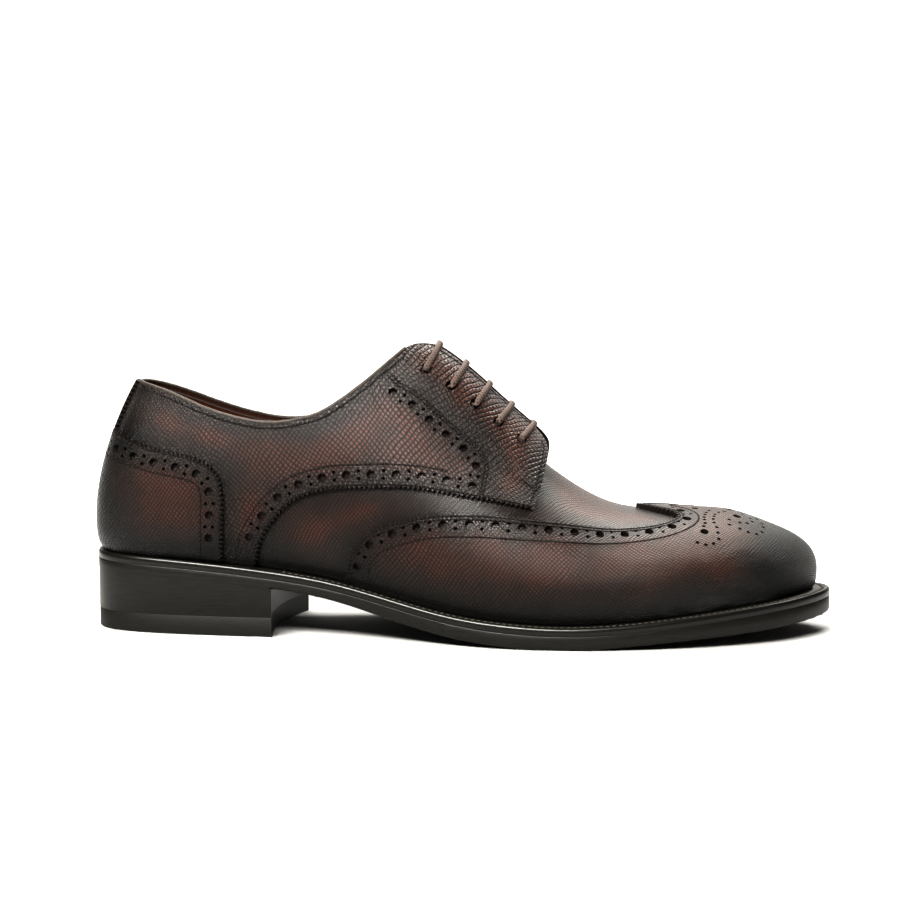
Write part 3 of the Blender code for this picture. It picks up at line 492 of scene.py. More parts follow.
def over_last(flat, height, lift=None):
    """Points this high over the last, in millimetres."""
    flat = np.atleast_2d(np.asarray(flat, float))
    height = np.broadcast_to(np.asarray(height, float), len(flat))
    if lift is not None:
        height = height + lift(flat)
    return read_chart(flat)[:, :3] + directions(flat) * height[:, None]


# %% [markdown]
# ## A pattern cutter's tools
#
# Rows of stitches, holes and pinked teeth are set out in real millimetres along an edge, not in shares of
# the chart. These helpers walk along a line, step to one side of it, and draw a true circle on the last.
# A flat paper pattern could be measured directly, but a shoe's pieces are only correct once they are lasted.

# %% Lines on the last
TYPICAL_GIRTH = 100.0
CHART_STEP = 2e-3
PINKING_PITCH = 2.0
PINKING_DEPTH = 1.3


def drawn(table, side=-1):
    """An edge table of (along, up) rows as a close line of (turn, across) points on one side."""
    points = np.array(table, float)
    run = run_along(points * [LENGTH, TYPICAL_GIRTH])
    at = np.linspace(0, run[-1], max(3, round(run[-1])))
    along, up = cubic(run, points[:, 0])(at), cubic(run, points[:, 1])(at)
    return np.stack([turn_of(along), side * (1 - np.clip(up, 0, 1))], axis=1)


def walked(line, pitch, start=0.0):
    """Points at equal real steps along a line."""
    run = run_along(over_last(line, 0.0))
    at = np.arange(start, run[-1], pitch)
    return np.stack([np.interp(at, run, line[:, k]) for k in (0, 1)], axis=1)


def scale_at(flat):
    """For each point, the matrix from a small step on the chart to millimetres on the surface."""
    du, dv = ((over_last(flat + step, 0) - over_last(flat - step, 0)) / (2 * CHART_STEP)
              for step in np.eye(2) * CHART_STEP)
    first = unit(du)
    square = dv - first * (dv * first).sum(axis=1, keepdims=True)
    matrix = np.zeros((len(flat), 2, 2))
    matrix[:, 0, 0] = np.linalg.norm(du, axis=1)
    matrix[:, 0, 1] = (dv * first).sum(axis=1)
    matrix[:, 1, 1] = np.maximum(np.linalg.norm(square, axis=1), 1.0)
    return matrix


def beside(line, distance):
    """The line moved to its left by a distance in millimetres."""
    scale = scale_at(line)
    ahead = unit(np.einsum("nij,nj->ni", scale, np.gradient(line, axis=0)))
    left = np.stack([-ahead[:, 1], ahead[:, 0]], axis=1) * distance
    return line + np.linalg.solve(scale, left[..., None])[..., 0]


def ring_at(spot, diameter, sides):
    """A circle round a spot of the chart, true to size on the last."""
    angle = np.linspace(0, 2 * math.pi, sides, endpoint=False)
    circle = np.stack([np.cos(angle), np.sin(angle)], axis=1) * diameter / 2
    return np.asarray(spot) + np.linalg.solve(scale_at(np.array([spot]))[0], circle.T).T


def pinked(line, depth, keep_ends=True):
    """The zigzag of pinking shears: every second step is set back by the depth of a tooth."""
    teeth = walked(line, PINKING_PITCH / 2)
    teeth[1:-1:2] = beside(teeth, depth)[1:-1:2]
    if keep_ends:
        teeth[0], teeth[-1] = line[0], line[-1]
    return teeth


def same_on_inner(line):
    """The line mirrored to the inner side."""
    return line * [1, -1]


def round_heel(line):
    """The line mirrored to the inner side where it runs on round the back of the heel."""
    return line * [-1, 1]


# %% [markdown]
# ## Leather colours and finish
#
# The upper is aniline-dyed calf with an embossed hatch grain. It was burnished by hand: a dark wax cream was
# worked in along the seams, the toe and the heel, so the red brown of the dye shows only in the middle of
# each panel. Low on the sides, above the welt, the darkening is partly painted shade of the crease where the
# upper turns under. The colour could be painted as a map, but distance from the nearest seam gives the same
# clouds and fits any change of the pattern, so each piece carries a "shade" value on its points.

# %% Helpers for colour and nodes
SHEEN = 0.36


def linear(code):
    """An sRGB hex colour as linear red, green, blue and alpha."""
    parts = [int(code[i:i + 2], 16) / 255 for i in (1, 3, 5)]
    return (*[c / 12.92 if c <= 0.04045 else ((c + 0.055) / 1.055) ** 2.4 for c in parts], 1.0)


def add(tree, kind, settings=None, links=None):
    """A node with its settings, by property or socket name, and its incoming links. A link from a node
    comes from its first output."""
    node = tree.nodes.new("ShaderNode" + kind)
    for name, value in (settings or {}).items():
        if isinstance(name, str) and hasattr(node, name):
            setattr(node, name, value)
        else:
            node.inputs[name].default_value = value
    for name, source in (links or {}).items():
        tree.links.new(source if isinstance(source, bpy.types.NodeSocket) else source.outputs[0],
                       node.inputs[name])
    return node


def dyed(tree, stops, source):
    """A colour ramp through stops of place and hex colour."""
    ramp = add(tree, "ValToRGB", {}, {"Fac": source})
    elements = ramp.color_ramp.elements
    for element, (place, code) in zip(elements, (stops[0], stops[-1])):
        element.position, element.color = place, linear(code)
    for place, code in stops[1:-1]:
        elements.new(place).color = linear(code)
    return ramp


def new_material(name, roughness, coat=0.0, coat_roughness=0.3):
    material = bpy.data.materials.new(name)
    material.use_nodes = True
    tree = material.node_tree
    shader = tree.nodes["Principled BSDF"]
    for socket, value in (("Roughness", roughness), ("Coat Weight", coat),
                          ("Coat Roughness", coat_roughness), ("Specular IOR Level", SHEEN)):
        shader.inputs[socket].default_value = value
    return material, tree, shader


def finish_with(tree, shader, colour, height, depth, strength=1.0):
    """Sends the colour to the shader, and a height in shares of a depth in millimetres as its bump."""
    bump = add(tree, "Bump", {"Strength": strength, "Distance": depth * MM}, {"Height": height})
    tree.links.new(colour.outputs[0], shader.inputs["Base Color"])
    tree.links.new(bump.outputs["Normal"], shader.inputs["Normal"])
    return bump


def slanted_waves(tree, source, slants, size_mm, **settings):
    """Two sets of parallel ridges this far apart, crossing at a slant."""
    waves = []
    for slant in slants:
        turned = add(tree, "Mapping", {"Rotation": (0, 0, math.radians(slant))}, {"Vector": source})
        settings.update({"bands_direction": "X", "Scale": WAVE_MM / size_mm})
        waves.append(add(tree, "TexWave", settings, {"Vector": turned}).outputs["Fac"])
    return waves


# %% Burnished, embossed calf
# The ramp runs from the open panel to the darkest cream and painted shade.
CALF_STOPS = ((0.22, "#4a2a1f"), (0.45, "#30201a"), (0.75, "#1a1411"), (0.98, "#080706"))
CALF_COAT, CALF_COAT_ROUGHNESS = 0.5, 0.2
HATCH_MM = 1.6
HATCH_DEPTH = 0.75
HATCH_SLANTS = (34, -52)
WAVE_MM = 0.314
DRIFT_MM = 4.5
PORE_SHARE = 0.22
CLOUD_SHARE = 0.5


def burnished_calf(name, hatch_mm, depth, roughness):
    """Aniline calf under wax: red brown in the open, near black where the cream gathered and, low on the
    sides, where shade is painted. The embossed hatch is a net of slightly skew cells with dark grooves, and
    the wax gives a soft, broken shine."""
    material, tree, shader = new_material(name, roughness, CALF_COAT, CALF_COAT_ROUGHNESS)
    uv = add(tree, "UVMap", {"uv_map": "UVMap"})
    wander, pores, clouds = (
        add(tree, "TexNoise", {"noise_dimensions": "2D", "Scale": per_mm, "Detail": 3.0}, {"Vector": uv})
        for per_mm in (0.045, 2.6, 0.055))
    drift = add(tree, "VectorMath", {"operation": "MULTIPLY_ADD", 1: (DRIFT_MM, DRIFT_MM, 0.0)},
                {0: wander.outputs["Color"], 2: uv})
    waves = slanted_waves(tree, drift, HATCH_SLANTS, hatch_mm,
                          **{"Distortion": 0.9, "Detail": 2.0, "Detail Scale": 2.2})
    cells = add(tree, "Math", {"operation": "MINIMUM"}, dict(enumerate(waves)))
    dome = add(tree, "MapRange", {"interpolation_type": "SMOOTHSTEP", "From Min": 0.03, "From Max": 0.5},
               {"Value": cells})
    surface = add(tree, "Math", {"operation": "MULTIPLY_ADD", 1: PORE_SHARE},
                  {0: pores.outputs["Fac"], 2: dome})
    # The shade value holds the cream and, low on the sides, painted shade.
    shade = add(tree, "Attribute", {"attribute_name": "shade"})
    cream_and_shade = add(tree, "Math", {"operation": "MULTIPLY_ADD", 1: CLOUD_SHARE, "use_clamp": True},
                {0: clouds.outputs["Fac"], 2: shade.outputs["Fac"]})
    groove = add(tree, "MapRange", {"To Min": 0.2, "To Max": 1.25}, {"Value": dome})
    colour = add(tree, "VectorMath", {"operation": "SCALE"},
                 {0: dyed(tree, CALF_STOPS, cream_and_shade), "Scale": groove})
    gloss = add(tree, "MapRange", {"To Min": roughness + 0.2, "To Max": roughness - 0.06}, {"Value": dome})
    bump = finish_with(tree, shader, colour, surface, depth)
    tree.links.new(bump.outputs["Normal"], shader.inputs["Coat Normal"])
    tree.links.new(gloss.outputs["Result"], shader.inputs["Roughness"])
    return material


calf = burnished_calf("burnished_hatch_calf", HATCH_MM, HATCH_DEPTH, 0.38)
toe_calf = burnished_calf("burnished_fine_hatch_calf", HATCH_MM * 0.85, HATCH_DEPTH * 0.75, 0.36)
vamp_calf = burnished_calf("burnished_soft_grain_calf", HATCH_MM * 0.75, HATCH_DEPTH * 0.4, 0.4)

# %% [markdown]
# The cut edges of the leather, the lining, the thread, the lace and the sole are simpler, but each has its
# own tooth: fibres on a cut edge, pores in the lining, plies in the thread, a braid in the lace, and the fine
# lines that the edge iron leaves in the wax of the sole.

# %% Lining, edges, thread, lace and sole
def plain_finish(name, light, dark, roughness, scale_mm, depth, stretch=(1, 1, 1), coat=0.0):
    """A finish with one even tooth: noise of a real size in millimetres, in the colour and the bump."""
    material, tree, shader = new_material(name, roughness, coat, 0.25)
    place = add(tree, "TexCoord")
    spread = add(tree, "Mapping", {"Scale": stretch}, {"Vector": place.outputs["Object"]})
    tooth = add(tree, "TexNoise", {"Scale": 1 / (scale_mm * MM), "Detail": 4.0}, {"Vector": spread})
    height = tooth.outputs["Fac"]
    finish_with(tree, shader, dyed(tree, ((0.3, dark), (0.7, light)), height), height, depth)
    return material


lining = plain_finish("vegetable_tanned_lining", "#54301f", "#3f2317", 0.6, 1.2, 0.05)
# Lighter and greyer than the calf: painted highlight along the rolled edge of the collar.
folded_edge_with_highlight = plain_finish("folded_calf_edge_painted_highlight", "#4a423c", "#2c2622", 0.45, 0.8, 0.04)
# Near black: painted shade of the groove that each stitch sits in.
stitch_channel_shade = plain_finish("painted_stitch_channel_shade", "#0c0908", "#070505", 0.7, 0.4, 0.02)
cut_edge = plain_finish("dyed_cut_edge", "#2b211d", "#171110", 0.7, 0.4, 0.04)
thread = plain_finish("waxed_linen_thread", "#3d2f28", "#241b17", 0.55, 0.3, 0.03)
welt_thread = plain_finish("pale_welt_thread", "#6b665c", "#47433c", 0.6, 0.3, 0.03)
sole_wax = plain_finish("edge_waxed_sole_leather", "#24231f", "#191816", 0.42, 0.9, 0.05,
                        (0.12, 0.12, 2.2), 0.15)
welt_wax = plain_finish("burnished_welt_leather", "#211f1c", "#161513", 0.32, 0.6, 0.05, (0.5, 0.5, 1), 0.3)
lift_rubber = plain_finish("moulded_heel_rubber", "#262521", "#1b1a18", 0.5, 0.5, 0.03, (0.2, 0.2, 1.5))

# %% The lace's braid
LACE_PLY_MM = 0.9


def braided_cotton(name):
    """Waxed cotton, braided round: two sets of plies cross at a slant, and the wax dulls the fibres."""
    material, tree, shader = new_material(name, 0.62)
    uv = add(tree, "UVMap", {"uv_map": "UVMap"})
    plies = slanted_waves(tree, uv, (35, -35), LACE_PLY_MM, **{"Distortion": 0.4})
    braid = add(tree, "Math", {"operation": "MAXIMUM"}, dict(enumerate(plies)))
    finish_with(tree, shader, dyed(tree, ((0.0, "#2d2522"), (1.0, "#5f514b")), braid), braid, 0.12, 0.8)
    return material


lace_cotton = braided_cotton("braided_waxed_cotton")
print(len(bpy.data.materials), "materials")

# %% [markdown]
# ## Seams
#
# The edges of the overlays come first, because they decide where holes, stitches and dark cream lie. Each
# table gives the share of the length and the share of the way from the sole up to the ridge.

# %% Edges of the overlays
QUARTER_LOWER_EDGE = (
    (0.228, 0.000), (0.234, 0.066), (0.239, 0.120), (0.251, 0.180), (0.272, 0.255), (0.290, 0.293),
    (0.316, 0.326), (0.366, 0.362), (0.417, 0.393), (0.466, 0.428), (0.547, 0.490), (0.597, 0.520),
)
QUARTER_FRONT_EDGE = (
    (0.597, 0.520), (0.605, 0.650), (0.605, 0.760), (0.602, 0.850), (0.597, 0.900), (0.588, 0.940),
)
COUNTER_EDGE = (
    (0.186, 0.000), (0.187, 0.160), (0.186, 0.310), (0.179, 0.370), (0.161, 0.415), (0.135, 0.443),
    (0.102, 0.460), (0.058, 0.484), (0.018, 0.510), (0.000, 0.520),
)
WING_EDGE = (
    (0.346, 0.000), (0.350, 0.050), (0.354, 0.104), (0.366, 0.171), (0.385, 0.228), (0.412, 0.272),
    (0.437, 0.309), (0.466, 0.350), (0.504, 0.396), (0.543, 0.434), (0.582, 0.464), (0.634, 0.508),
    (0.688, 0.550), (0.733, 0.590), (0.768, 0.635), (0.785, 0.685), (0.794, 0.745), (0.789, 0.810),
    (0.770, 0.870), (0.753, 0.930), (0.737, 1.000),
)
EYESTAY_EDGE = (
    (0.405, 0.800), (0.418, 0.775), (0.437, 0.762), (0.467, 0.737), (0.503, 0.712), (0.521, 0.698),
    (0.532, 0.670), (0.536, 0.635), (0.535, 0.595), (0.533, 0.540), (0.531, 0.485),
)
QUARTER_TOP_CORNER = 0.4253 * LENGTH
FACING_GAP = 6.0
FACING_TOP = 0.4578 * LENGTH
FACING_BOTTOM = 0.5779 * LENGTH
THROAT_FRONT = 0.5714 * LENGTH
THROAT_SLOT = 22.0


def turn_for_ridge(x):
    along = np.linspace(0, 1, 2001)
    return float(turn_of(np.interp(x, last.ridge_x(along), along)))


def across_at_height(turn, side, drop=0.0):
    """Where the column crosses the collar, less drop."""
    column = np.stack([np.full(600, turn), side * np.linspace(1, 0, 600)], axis=1)
    place = over_last(column, 0.0)
    above = place[:, 2] + drop - last.collar_z[side](place[:, 0] / LENGTH)
    return float(column[np.argmax(above >= 0), 1])


def collar_line(side, start, end, drop=0.0):
    turns = np.linspace(start, end, max(3, round(abs(end - start) * 250)))
    return np.array([(turn, across_at_height(turn, side, drop)) for turn in turns])


def at_distance(turn, side, distance):
    """Across at this distance from the ridge."""
    return side * distance / float(read_chart([(turn, side)])[0, 6])


def collar_corner(side):
    """The column in which the collar reaches the quarter's top corner."""
    for turn in np.linspace(0.35, 0.5, 151):
        if over_last((turn, across_at_height(turn, side)), 0.0)[0, 0] >= QUARTER_TOP_CORNER:
            return float(turn)


corner = {side: collar_corner(side) for side in (-1, 1)}
wing_edge, quarter_edge, front_edge, eyestay_edge, counter_edge = (
    drawn(table) for table in
    (WING_EDGE, QUARTER_LOWER_EDGE, QUARTER_FRONT_EDGE, EYESTAY_EDGE, COUNTER_EDGE))
facing_edge = np.array([(turn, at_distance(turn, -1, FACING_GAP / 2)) for turn in
                        np.linspace(turn_for_ridge(FACING_TOP), turn_for_ridge(FACING_BOTTOM), 30)])
print("wing edge", run_along(over_last(wing_edge, 0.0))[-1].round(), "mm a side")

# %% Shade from the distance to a seam
BASE, LAYER, COUNTER_BASE = 0.7, 1.3, 2.85
seam_lines = [wing_edge, quarter_edge, front_edge, eyestay_edge, counter_edge, facing_edge,
              collar_line(-1, 0.0, corner[-1])]
seam_points = np.vstack([over_last(side, BASE + LAYER) for line in seam_lines
                         for side in (line, same_on_inner(line))])
seams = kdtree.KDTree(len(seam_points))
for number, point in enumerate(seam_points):
    seams.insert(point, number)
seams.balance()


# Wax cream at the toe, the heel and the seams. Low on the sides it is partly cream and partly painted shade of
# the crease over the welt.
TOE_CREAM = {"start": 262.0, "reach": 34.0, "most": 0.95}
HEEL_CREAM = {"start": 34.0, "reach": -40.0, "most": 0.75}
LOW_SHADE_AND_CREAM = {"reach": 11.0, "most": 0.75}
SEAM_CREAM = {"reach": 8.0, "most": 0.42}


def shade_of(places):
    """0 in the open, 1 where the cream gathered: by a seam, at the toe and at the heel; low on the sides,
    painted shade too.
    """
    near = np.array([seams.find(p)[2] for p in places])
    from_sole = np.clip(places[:, 2] - last.welt_top(places[:, 0]), 0, None)
    bare = 1.0
    for cream_and_shade in (TOE_CREAM, HEEL_CREAM):
        bare = bare * (1 - eased((places[:, 0] - cream_and_shade["start"]) / cream_and_shade["reach"]) * cream_and_shade["most"])
    for cream_and_shade, away in ((LOW_SHADE_AND_CREAM, from_sole), (SEAM_CREAM, near)):
        bare = bare * (1 - np.exp(-(away / cream_and_shade["reach"]) ** 2) * cream_and_shade["most"])
    return np.clip(1 - bare, 0, 1)


# %% [markdown]
# ## Cutting and lasting a piece
#
# On the bench a piece is clicked out of the hide with a knife, punched, and then pulled over the last. The
# mesh is made the same way: the outline and the holes are drawn flat and filled, the sheet is sliced into a
# close grid so that it can bend, its points move to the last, and an extrusion gives it the thickness of the
# calf. A finished shell with Boolean holes would also work, but it is slow with this many holes, and their
# rims come out ragged.

# %% Cutting the flat pattern
FLAT_TURN = 480.0
FLAT_ACROSS = 100.0
PATTERN_SLICE = 3.0


def sliced(mesh, direction, places, closeness):
    """Cuts the mesh's faces along planes square to the direction, at these places."""
    for place in places:
        bmesh.ops.bisect_plane(mesh, geom=mesh.verts[:] + mesh.edges[:] + mesh.faces[:], dist=closeness,
                               plane_co=direction * float(place), plane_no=direction)


def cut_pattern(outline, holes):
    sheet = bmesh.new()
    for loop in [outline, *holes]:
        points = [sheet.verts.new((turn * FLAT_TURN, across * FLAT_ACROSS, 0.0)) for turn, across in loop]
        for a, b in zip(points, points[1:] + points[:1]):
            sheet.edges.new((a, b))
    bmesh.ops.triangle_fill(sheet, use_beauty=True, edges=sheet.edges[:], normal=(0, 0, 1))
    for axis, direction in enumerate((Vector((1, 0, 0)), Vector((0, 1, 0)))):
        values = [v.co[axis] / PATTERN_SLICE for v in sheet.verts]
        steps = np.arange(math.ceil(min(values)), math.floor(max(values)) + 1)
        sliced(sheet, direction, steps * PATTERN_SLICE, 1e-3)
    return sheet


# %% Pulling it over the last
def lasted(name, outline, holes, low, high, finish, under, lift=None):
    """A leather piece from its flat outline, between two heights over the last."""
    sheet = cut_pattern(outline, holes)
    flat_place = sheet.verts.layers.float_vector.new("flat")
    grain = sheet.loops.layers.uv.new("UVMap")
    for vert in sheet.verts:
        vert[flat_place] = vert.co
    for face in sheet.faces:
        for loop in face.loops:
            turn = loop.vert.co.x / FLAT_TURN
            loop[grain].uv = (LENGTH * math.copysign(float(along_of(abs(turn))), turn), loop.vert.co.y)

    def move(verts, height):
        flat = np.array([v[flat_place][:2] for v in verts]) / [FLAT_TURN, FLAT_ACROSS]
        for vert, place in zip(verts, over_last(flat, height, lift)):
            vert.co = place * MM

    move(sheet.verts[:], low)
    ends = [v for v in sheet.verts if v[flat_place][0] > FLAT_TURN - 1e-2 or abs(v[flat_place][0]) < 1e-3]
    bmesh.ops.remove_doubles(sheet, verts=ends, dist=2e-6)
    inner = sheet.faces[:]
    made = bmesh.ops.extrude_face_region(sheet, geom=inner, use_keep_orig=True)
    top = [item for item in made["geom"] if isinstance(item, bmesh.types.BMVert)]
    top_faces = {item for item in made["geom"] if isinstance(item, bmesh.types.BMFace)}
    move(top, high)
    kept = set(inner)
    for face in sheet.faces:
        face.material_index = 0 if face in top_faces else (1 if face in kept else 2)
    bmesh.ops.triangulate(sheet, faces=[f for f in sheet.faces if len(f.verts) > 4])
    bmesh.ops.recalc_face_normals(sheet, faces=sheet.faces[:])
    print("open edges:", sum(1 for edge in sheet.edges if len(edge.link_faces) != 2))
    piece = finished(name, sheet, finish, under, cut_edge, sharp=50)
    shade = piece.data.attributes.new("shade", "FLOAT", "POINT")
    shade.data.foreach_set("value", shade_of(np.array([v.co for v in piece.data.vertices]) / MM))
    return piece


# %% [markdown]
# ## Punching
#
# Broguing is a row of large holes with a pair of small ones between each two. It was made to let water out
# of a wet shoe, and it stayed as ornament. The spacing is even in real millimetres, so it is walked out.

# %% A row of broguing
BIG_HOLE = 3.6
SMALL_HOLE = 1.5
SMALL_PAIR = 3.2
LOWEST_HOLE = 0.965
NEAREST_RIDGE = 0.06


def broguing(row, pitch, start, count=99):
    """Holes for one row: large ones, each followed by a pair of small ones."""
    holes = [ring_at(spot, BIG_HOLE, 16) for spot in punched(walked(row, pitch, start)[:count])]
    for spot in punched(walked(row, pitch, start + pitch / 2)[:count]):
        scale = scale_at(np.array([spot]))[0]
        here = np.argmin(np.linalg.norm(row - spot, axis=1))
        ahead = unit(scale @ (row[min(here + 2, len(row) - 1)] - row[max(here - 2, 0)]))
        aside = np.linalg.solve(scale, [-ahead[1], ahead[0]]) * SMALL_PAIR / 2
        holes += [ring_at(spot + aside, SMALL_HOLE, 8), ring_at(spot - aside, SMALL_HOLE, 8)]
    return holes


def punched(spots):
    """Only the spots that lie clear of the sole and of the ridge."""
    return [spot for spot in spots if NEAREST_RIDGE < -spot[1] < LOWEST_HOLE]

# %% [markdown]
# ## The vamp and its lining
#
# Under the overlays one shell of softer calf runs round the whole foot, with its lining inside. It shows
# between the wing and the quarters and, as lining, inside the collar. A real shoe joins a vamp and a
# lining from several pieces here, but their joins are covered, so one shell is enough.

# %% Vamp
UPPER_WALL = 2.0
throat_turn = turn_for_ridge(THROAT_FRONT)
opening = {}
for side in (-1, 1):
    slot = [(turn, at_distance(turn, side, THROAT_SLOT / 2))
            for turn in np.linspace(corner[side] + 0.02, throat_turn - 0.01, 9)]
    opening[side] = [tuple(p) for p in collar_line(side, 0.0, corner[side], 1.0)] + slot
opening[1][0] = (0.0, -opening[-1][0][1])
vamp_outline = ([(0.0, -1.0), (1.0, -1.0), (1.0, 1.0), (0.0, 1.0)] + opening[1] + [(throat_turn, 0.0)]
                + opening[-1][::-1])
vamp = lasted("vamp_and_lining", vamp_outline, [], -UPPER_WALL, 0.0, vamp_calf, lining)

# %% [markdown]
# ## The wing cap
#
# The wing is the brogue's signature: its edge runs back from the toe in a wave along both sides and meets in
# a point on the ridge. It carries the double row of stitches, one row of broguing and the medallion, a
# traditional figure of punched holes on the toe. The medallion is charted hole by hole, as the distance from
# the heel's back and from the ridge, for one half.

# %% Wing cap
WING_ROW = {"pitch": 10.6, "start": 9.6}
WING_ROW_INSET = 4.7
MEDALLION = (  # from the heel's back, from the ridge, diameter
    (265.5, 0.0, 3.2), (251.5, 4.2, 3.0), (268.0, 10.2, 3.4), (254.0, 28.5, 3.4),
    (257.2, 7.7, 1.5), (255.7, 10.8, 1.5), (255.0, 13.5, 1.5), (254.6, 16.3, 1.5), (254.5, 19.1, 1.5),
    (254.5, 21.9, 1.5), (254.4, 24.8, 1.5),
    (263.4, 6.5, 1.5), (261.1, 9.2, 1.5), (259.3, 12.0, 1.5), (258.4, 15.0, 1.5), (258.1, 18.0, 1.5),
    (258.4, 21.1, 1.5), (259.2, 24.3, 1.5), (259.7, 27.6, 1.5), (259.4, 30.9, 1.5), (257.4, 33.6, 1.5),
    (254.0, 34.9, 1.5), (250.9, 34.4, 1.5),
    (264.8, 16.1, 1.5), (264.5, 20.4, 1.5), (268.6, 16.6, 1.5), (268.5, 21.8, 1.5), (272.1, 15.1, 1.5),
    (274.3, 11.3, 1.5), (273.6, 7.4, 1.5), (272.0, 22.0, 1.5), (275.1, 20.9, 1.5), (277.8, 17.6, 1.5),
    (278.6, 12.8, 1.5), (278.5, 8.2, 1.5), (276.5, 4.6, 1.5), (270.6, 3.4, 1.5),
)


def spot_from_plan(from_heel, aside):
    """The chart point that lies there when the shoe is seen from above."""
    want = np.array([from_heel, float(last.ridge_y(from_heel / LENGTH)) + aside])
    rows = np.linspace(TURN_LOW, TURN_HIGH, TURN_COUNT)
    usable = (rows > 0.5) & (rows < 0.995)
    plan = chart[usable][:, ACROSS_COUNT // 8:-(ACROSS_COUNT // 8), :2]
    i, j = np.unravel_index(np.argmin(np.linalg.norm(plan - want, axis=2)), plan.shape[:2])
    return np.array([rows[usable][i], np.linspace(-1, 1, ACROSS_COUNT)[ACROSS_COUNT // 8:][j]])


outer_wing = pinked(wing_edge, -PINKING_DEPTH)
wing_outline = ([tuple(p) for p in outer_wing] + [tuple(p) for p in same_on_inner(outer_wing)[-2::-1]]
                + [(1.0, 1.0), (1.0, -1.0)])
wing_holes = broguing(beside(wing_edge, -WING_ROW_INSET), **WING_ROW)
wing_holes += [same_on_inner(hole)[::-1] for hole in wing_holes]
for from_heel, aside, diameter in MEDALLION:
    for side in ((-1, 1) if aside else (1,)):
        spot = spot_from_plan(from_heel, side * aside)
        wing_holes.append(ring_at(spot, diameter, 12 if diameter > SMALL_HOLE else 8))
SEATED = 0.04
wing = lasted("wing_cap_calf", wing_outline, wing_holes, SEATED, BASE + LAYER, toe_calf, cut_edge)
print(len(wing_holes), "holes in the wing")

# %% [markdown]
# ## The quarters
#
# Each quarter wraps the ankle from the back seam to the facing, and laps over the vamp with a pinked,
# brogued edge. The five eyelets are bare punched holes without metal rings. Outer and inner quarters are cut
# from the same pattern, except for the collar, which is a little lower on the inside.

# %% Quarters
EYELET_COUNT = 5
EYELET_DIAMETER = 4.4
EYELET_SETBACK = 16.5
EYELET_FIRST = 0.4464 * LENGTH
EYELET_LAST = 0.5692 * LENGTH
QUARTER_ROW = {"pitch": 10.25, "start": 13.9, "count": 10}
EYESTAY_ROW = {"pitch": 9.3, "start": 6.9, "count": 7}
QUARTER_ROW_INSET = 5.6
EYESTAY_ROW_INSET = 4.9
BACK_TURN = 0.0012


def eyelet_places(side):
    turns = [turn_for_ridge(x) for x in np.linspace(EYELET_FIRST, EYELET_LAST, EYELET_COUNT)]
    return [(turn, at_distance(turn, side, EYELET_SETBACK)) for turn in turns]


def quarter_loops(side):
    """The outline of a quarter and its holes, drawn on the outer side and mirrored for the inner one."""
    collar = collar_line(side, BACK_TURN, corner[side]) * [1, -side]
    pinked_edge = pinked(quarter_edge, PINKING_DEPTH)
    top = np.linspace(facing_edge[0], collar[-1], 9)[1:-1]
    outline = np.vstack([[(BACK_TURN, -1.0)], pinked_edge, front_edge[3:-1], facing_edge[::-1], top,
                         collar[::-1]])
    holes = broguing(beside(quarter_edge, QUARTER_ROW_INSET), **QUARTER_ROW)
    holes += broguing(beside(eyestay_edge, -EYESTAY_ROW_INSET), **EYESTAY_ROW)
    holes += [ring_at(place, EYELET_DIAMETER, 20) for place in eyelet_places(-1)]
    if side > 0:
        return same_on_inner(outline), [same_on_inner(hole) for hole in holes]
    return outline, holes


quarters = {}
for side, name in ((-1, "quarter_outer"), (1, "quarter_inner")):
    outline, holes = quarter_loops(side)
    quarters[side] = lasted(name, outline, holes, BASE, BASE + LAYER, calf, lining, facing_lift)

# %% [markdown]
# ## Counter and back strip
#
# The counter stiffens the heel and carries the same broguing. The narrow strip above it covers the seam
# where the quarters meet at the back, and ends at the collar. Both go round the heel, so their patterns run
# over to negative turn.

# %% Counter
COUNTER_WALL = 1.1
COUNTER_LOW = BASE + LAYER + SEATED
COUNTER_ROW = {"pitch": 9.4, "start": 10.9, "count": 8}
COUNTER_ROW_INSET = 6.0
counter_pinked = pinked(counter_edge, PINKING_DEPTH)
counter_outline = np.vstack([counter_pinked, round_heel(counter_pinked[:-1])[::-1]])
counter_holes = broguing(beside(counter_edge, COUNTER_ROW_INSET), **COUNTER_ROW)
counter_holes += [round_heel(hole) for hole in counter_holes]
counter = lasted("counter_calf", counter_outline, counter_holes, COUNTER_LOW, COUNTER_BASE + COUNTER_WALL,
                 toe_calf, cut_edge)

# %% Back strip
STRIP_HALF = 4.5
STRIP_WALL = 0.9
STRIP_GAP = 0.001
STRIP_TRIAL_TURN = 0.02
strip_foot = counter_edge[-1][1] + STRIP_GAP
near, far = (over_last((turn, strip_foot), 0) for turn in (0, STRIP_TRIAL_TURN))
strip_turn = STRIP_TRIAL_TURN * STRIP_HALF / float(np.linalg.norm(far - near))
strip_top = across_at_height(strip_turn, -1)
strip_side = np.array([(strip_turn, across) for across in np.linspace(strip_foot, strip_top, 40)])
strip_pinked = pinked(strip_side, PINKING_DEPTH, keep_ends=False)
strip_outline = np.vstack([strip_pinked, round_heel(strip_pinked)[::-1]])
strip = lasted("back_strip_calf", strip_outline, [], COUNTER_LOW, COUNTER_BASE + STRIP_WALL, calf, cut_edge)

# %% [markdown]
# ## The tongue
#
# The tongue lies under the facings and its rounded end stands just above them. It is bound to the vamp at its
# foot, so its lift grows from nothing there.

# %% Tongue
TONGUE_WALL = 2.2
TONGUE_CLEARANCE = 1.0
TONGUE_WIDTH = 34.0
TONGUE_TOP = 0.4464 * LENGTH
TONGUE_FOOT = 0.5909 * LENGTH
TONGUE_RISE_REACH = 0.0455 * LENGTH
TONGUE_POINTS = 40


def tongue_lift(flat):
    risen = eased((TONGUE_FOOT - read_chart(flat)[:, 7]) / TONGUE_RISE_REACH)
    return risen * np.maximum(0.0, facing_lift(flat) - TONGUE_WALL - TONGUE_CLEARANCE)


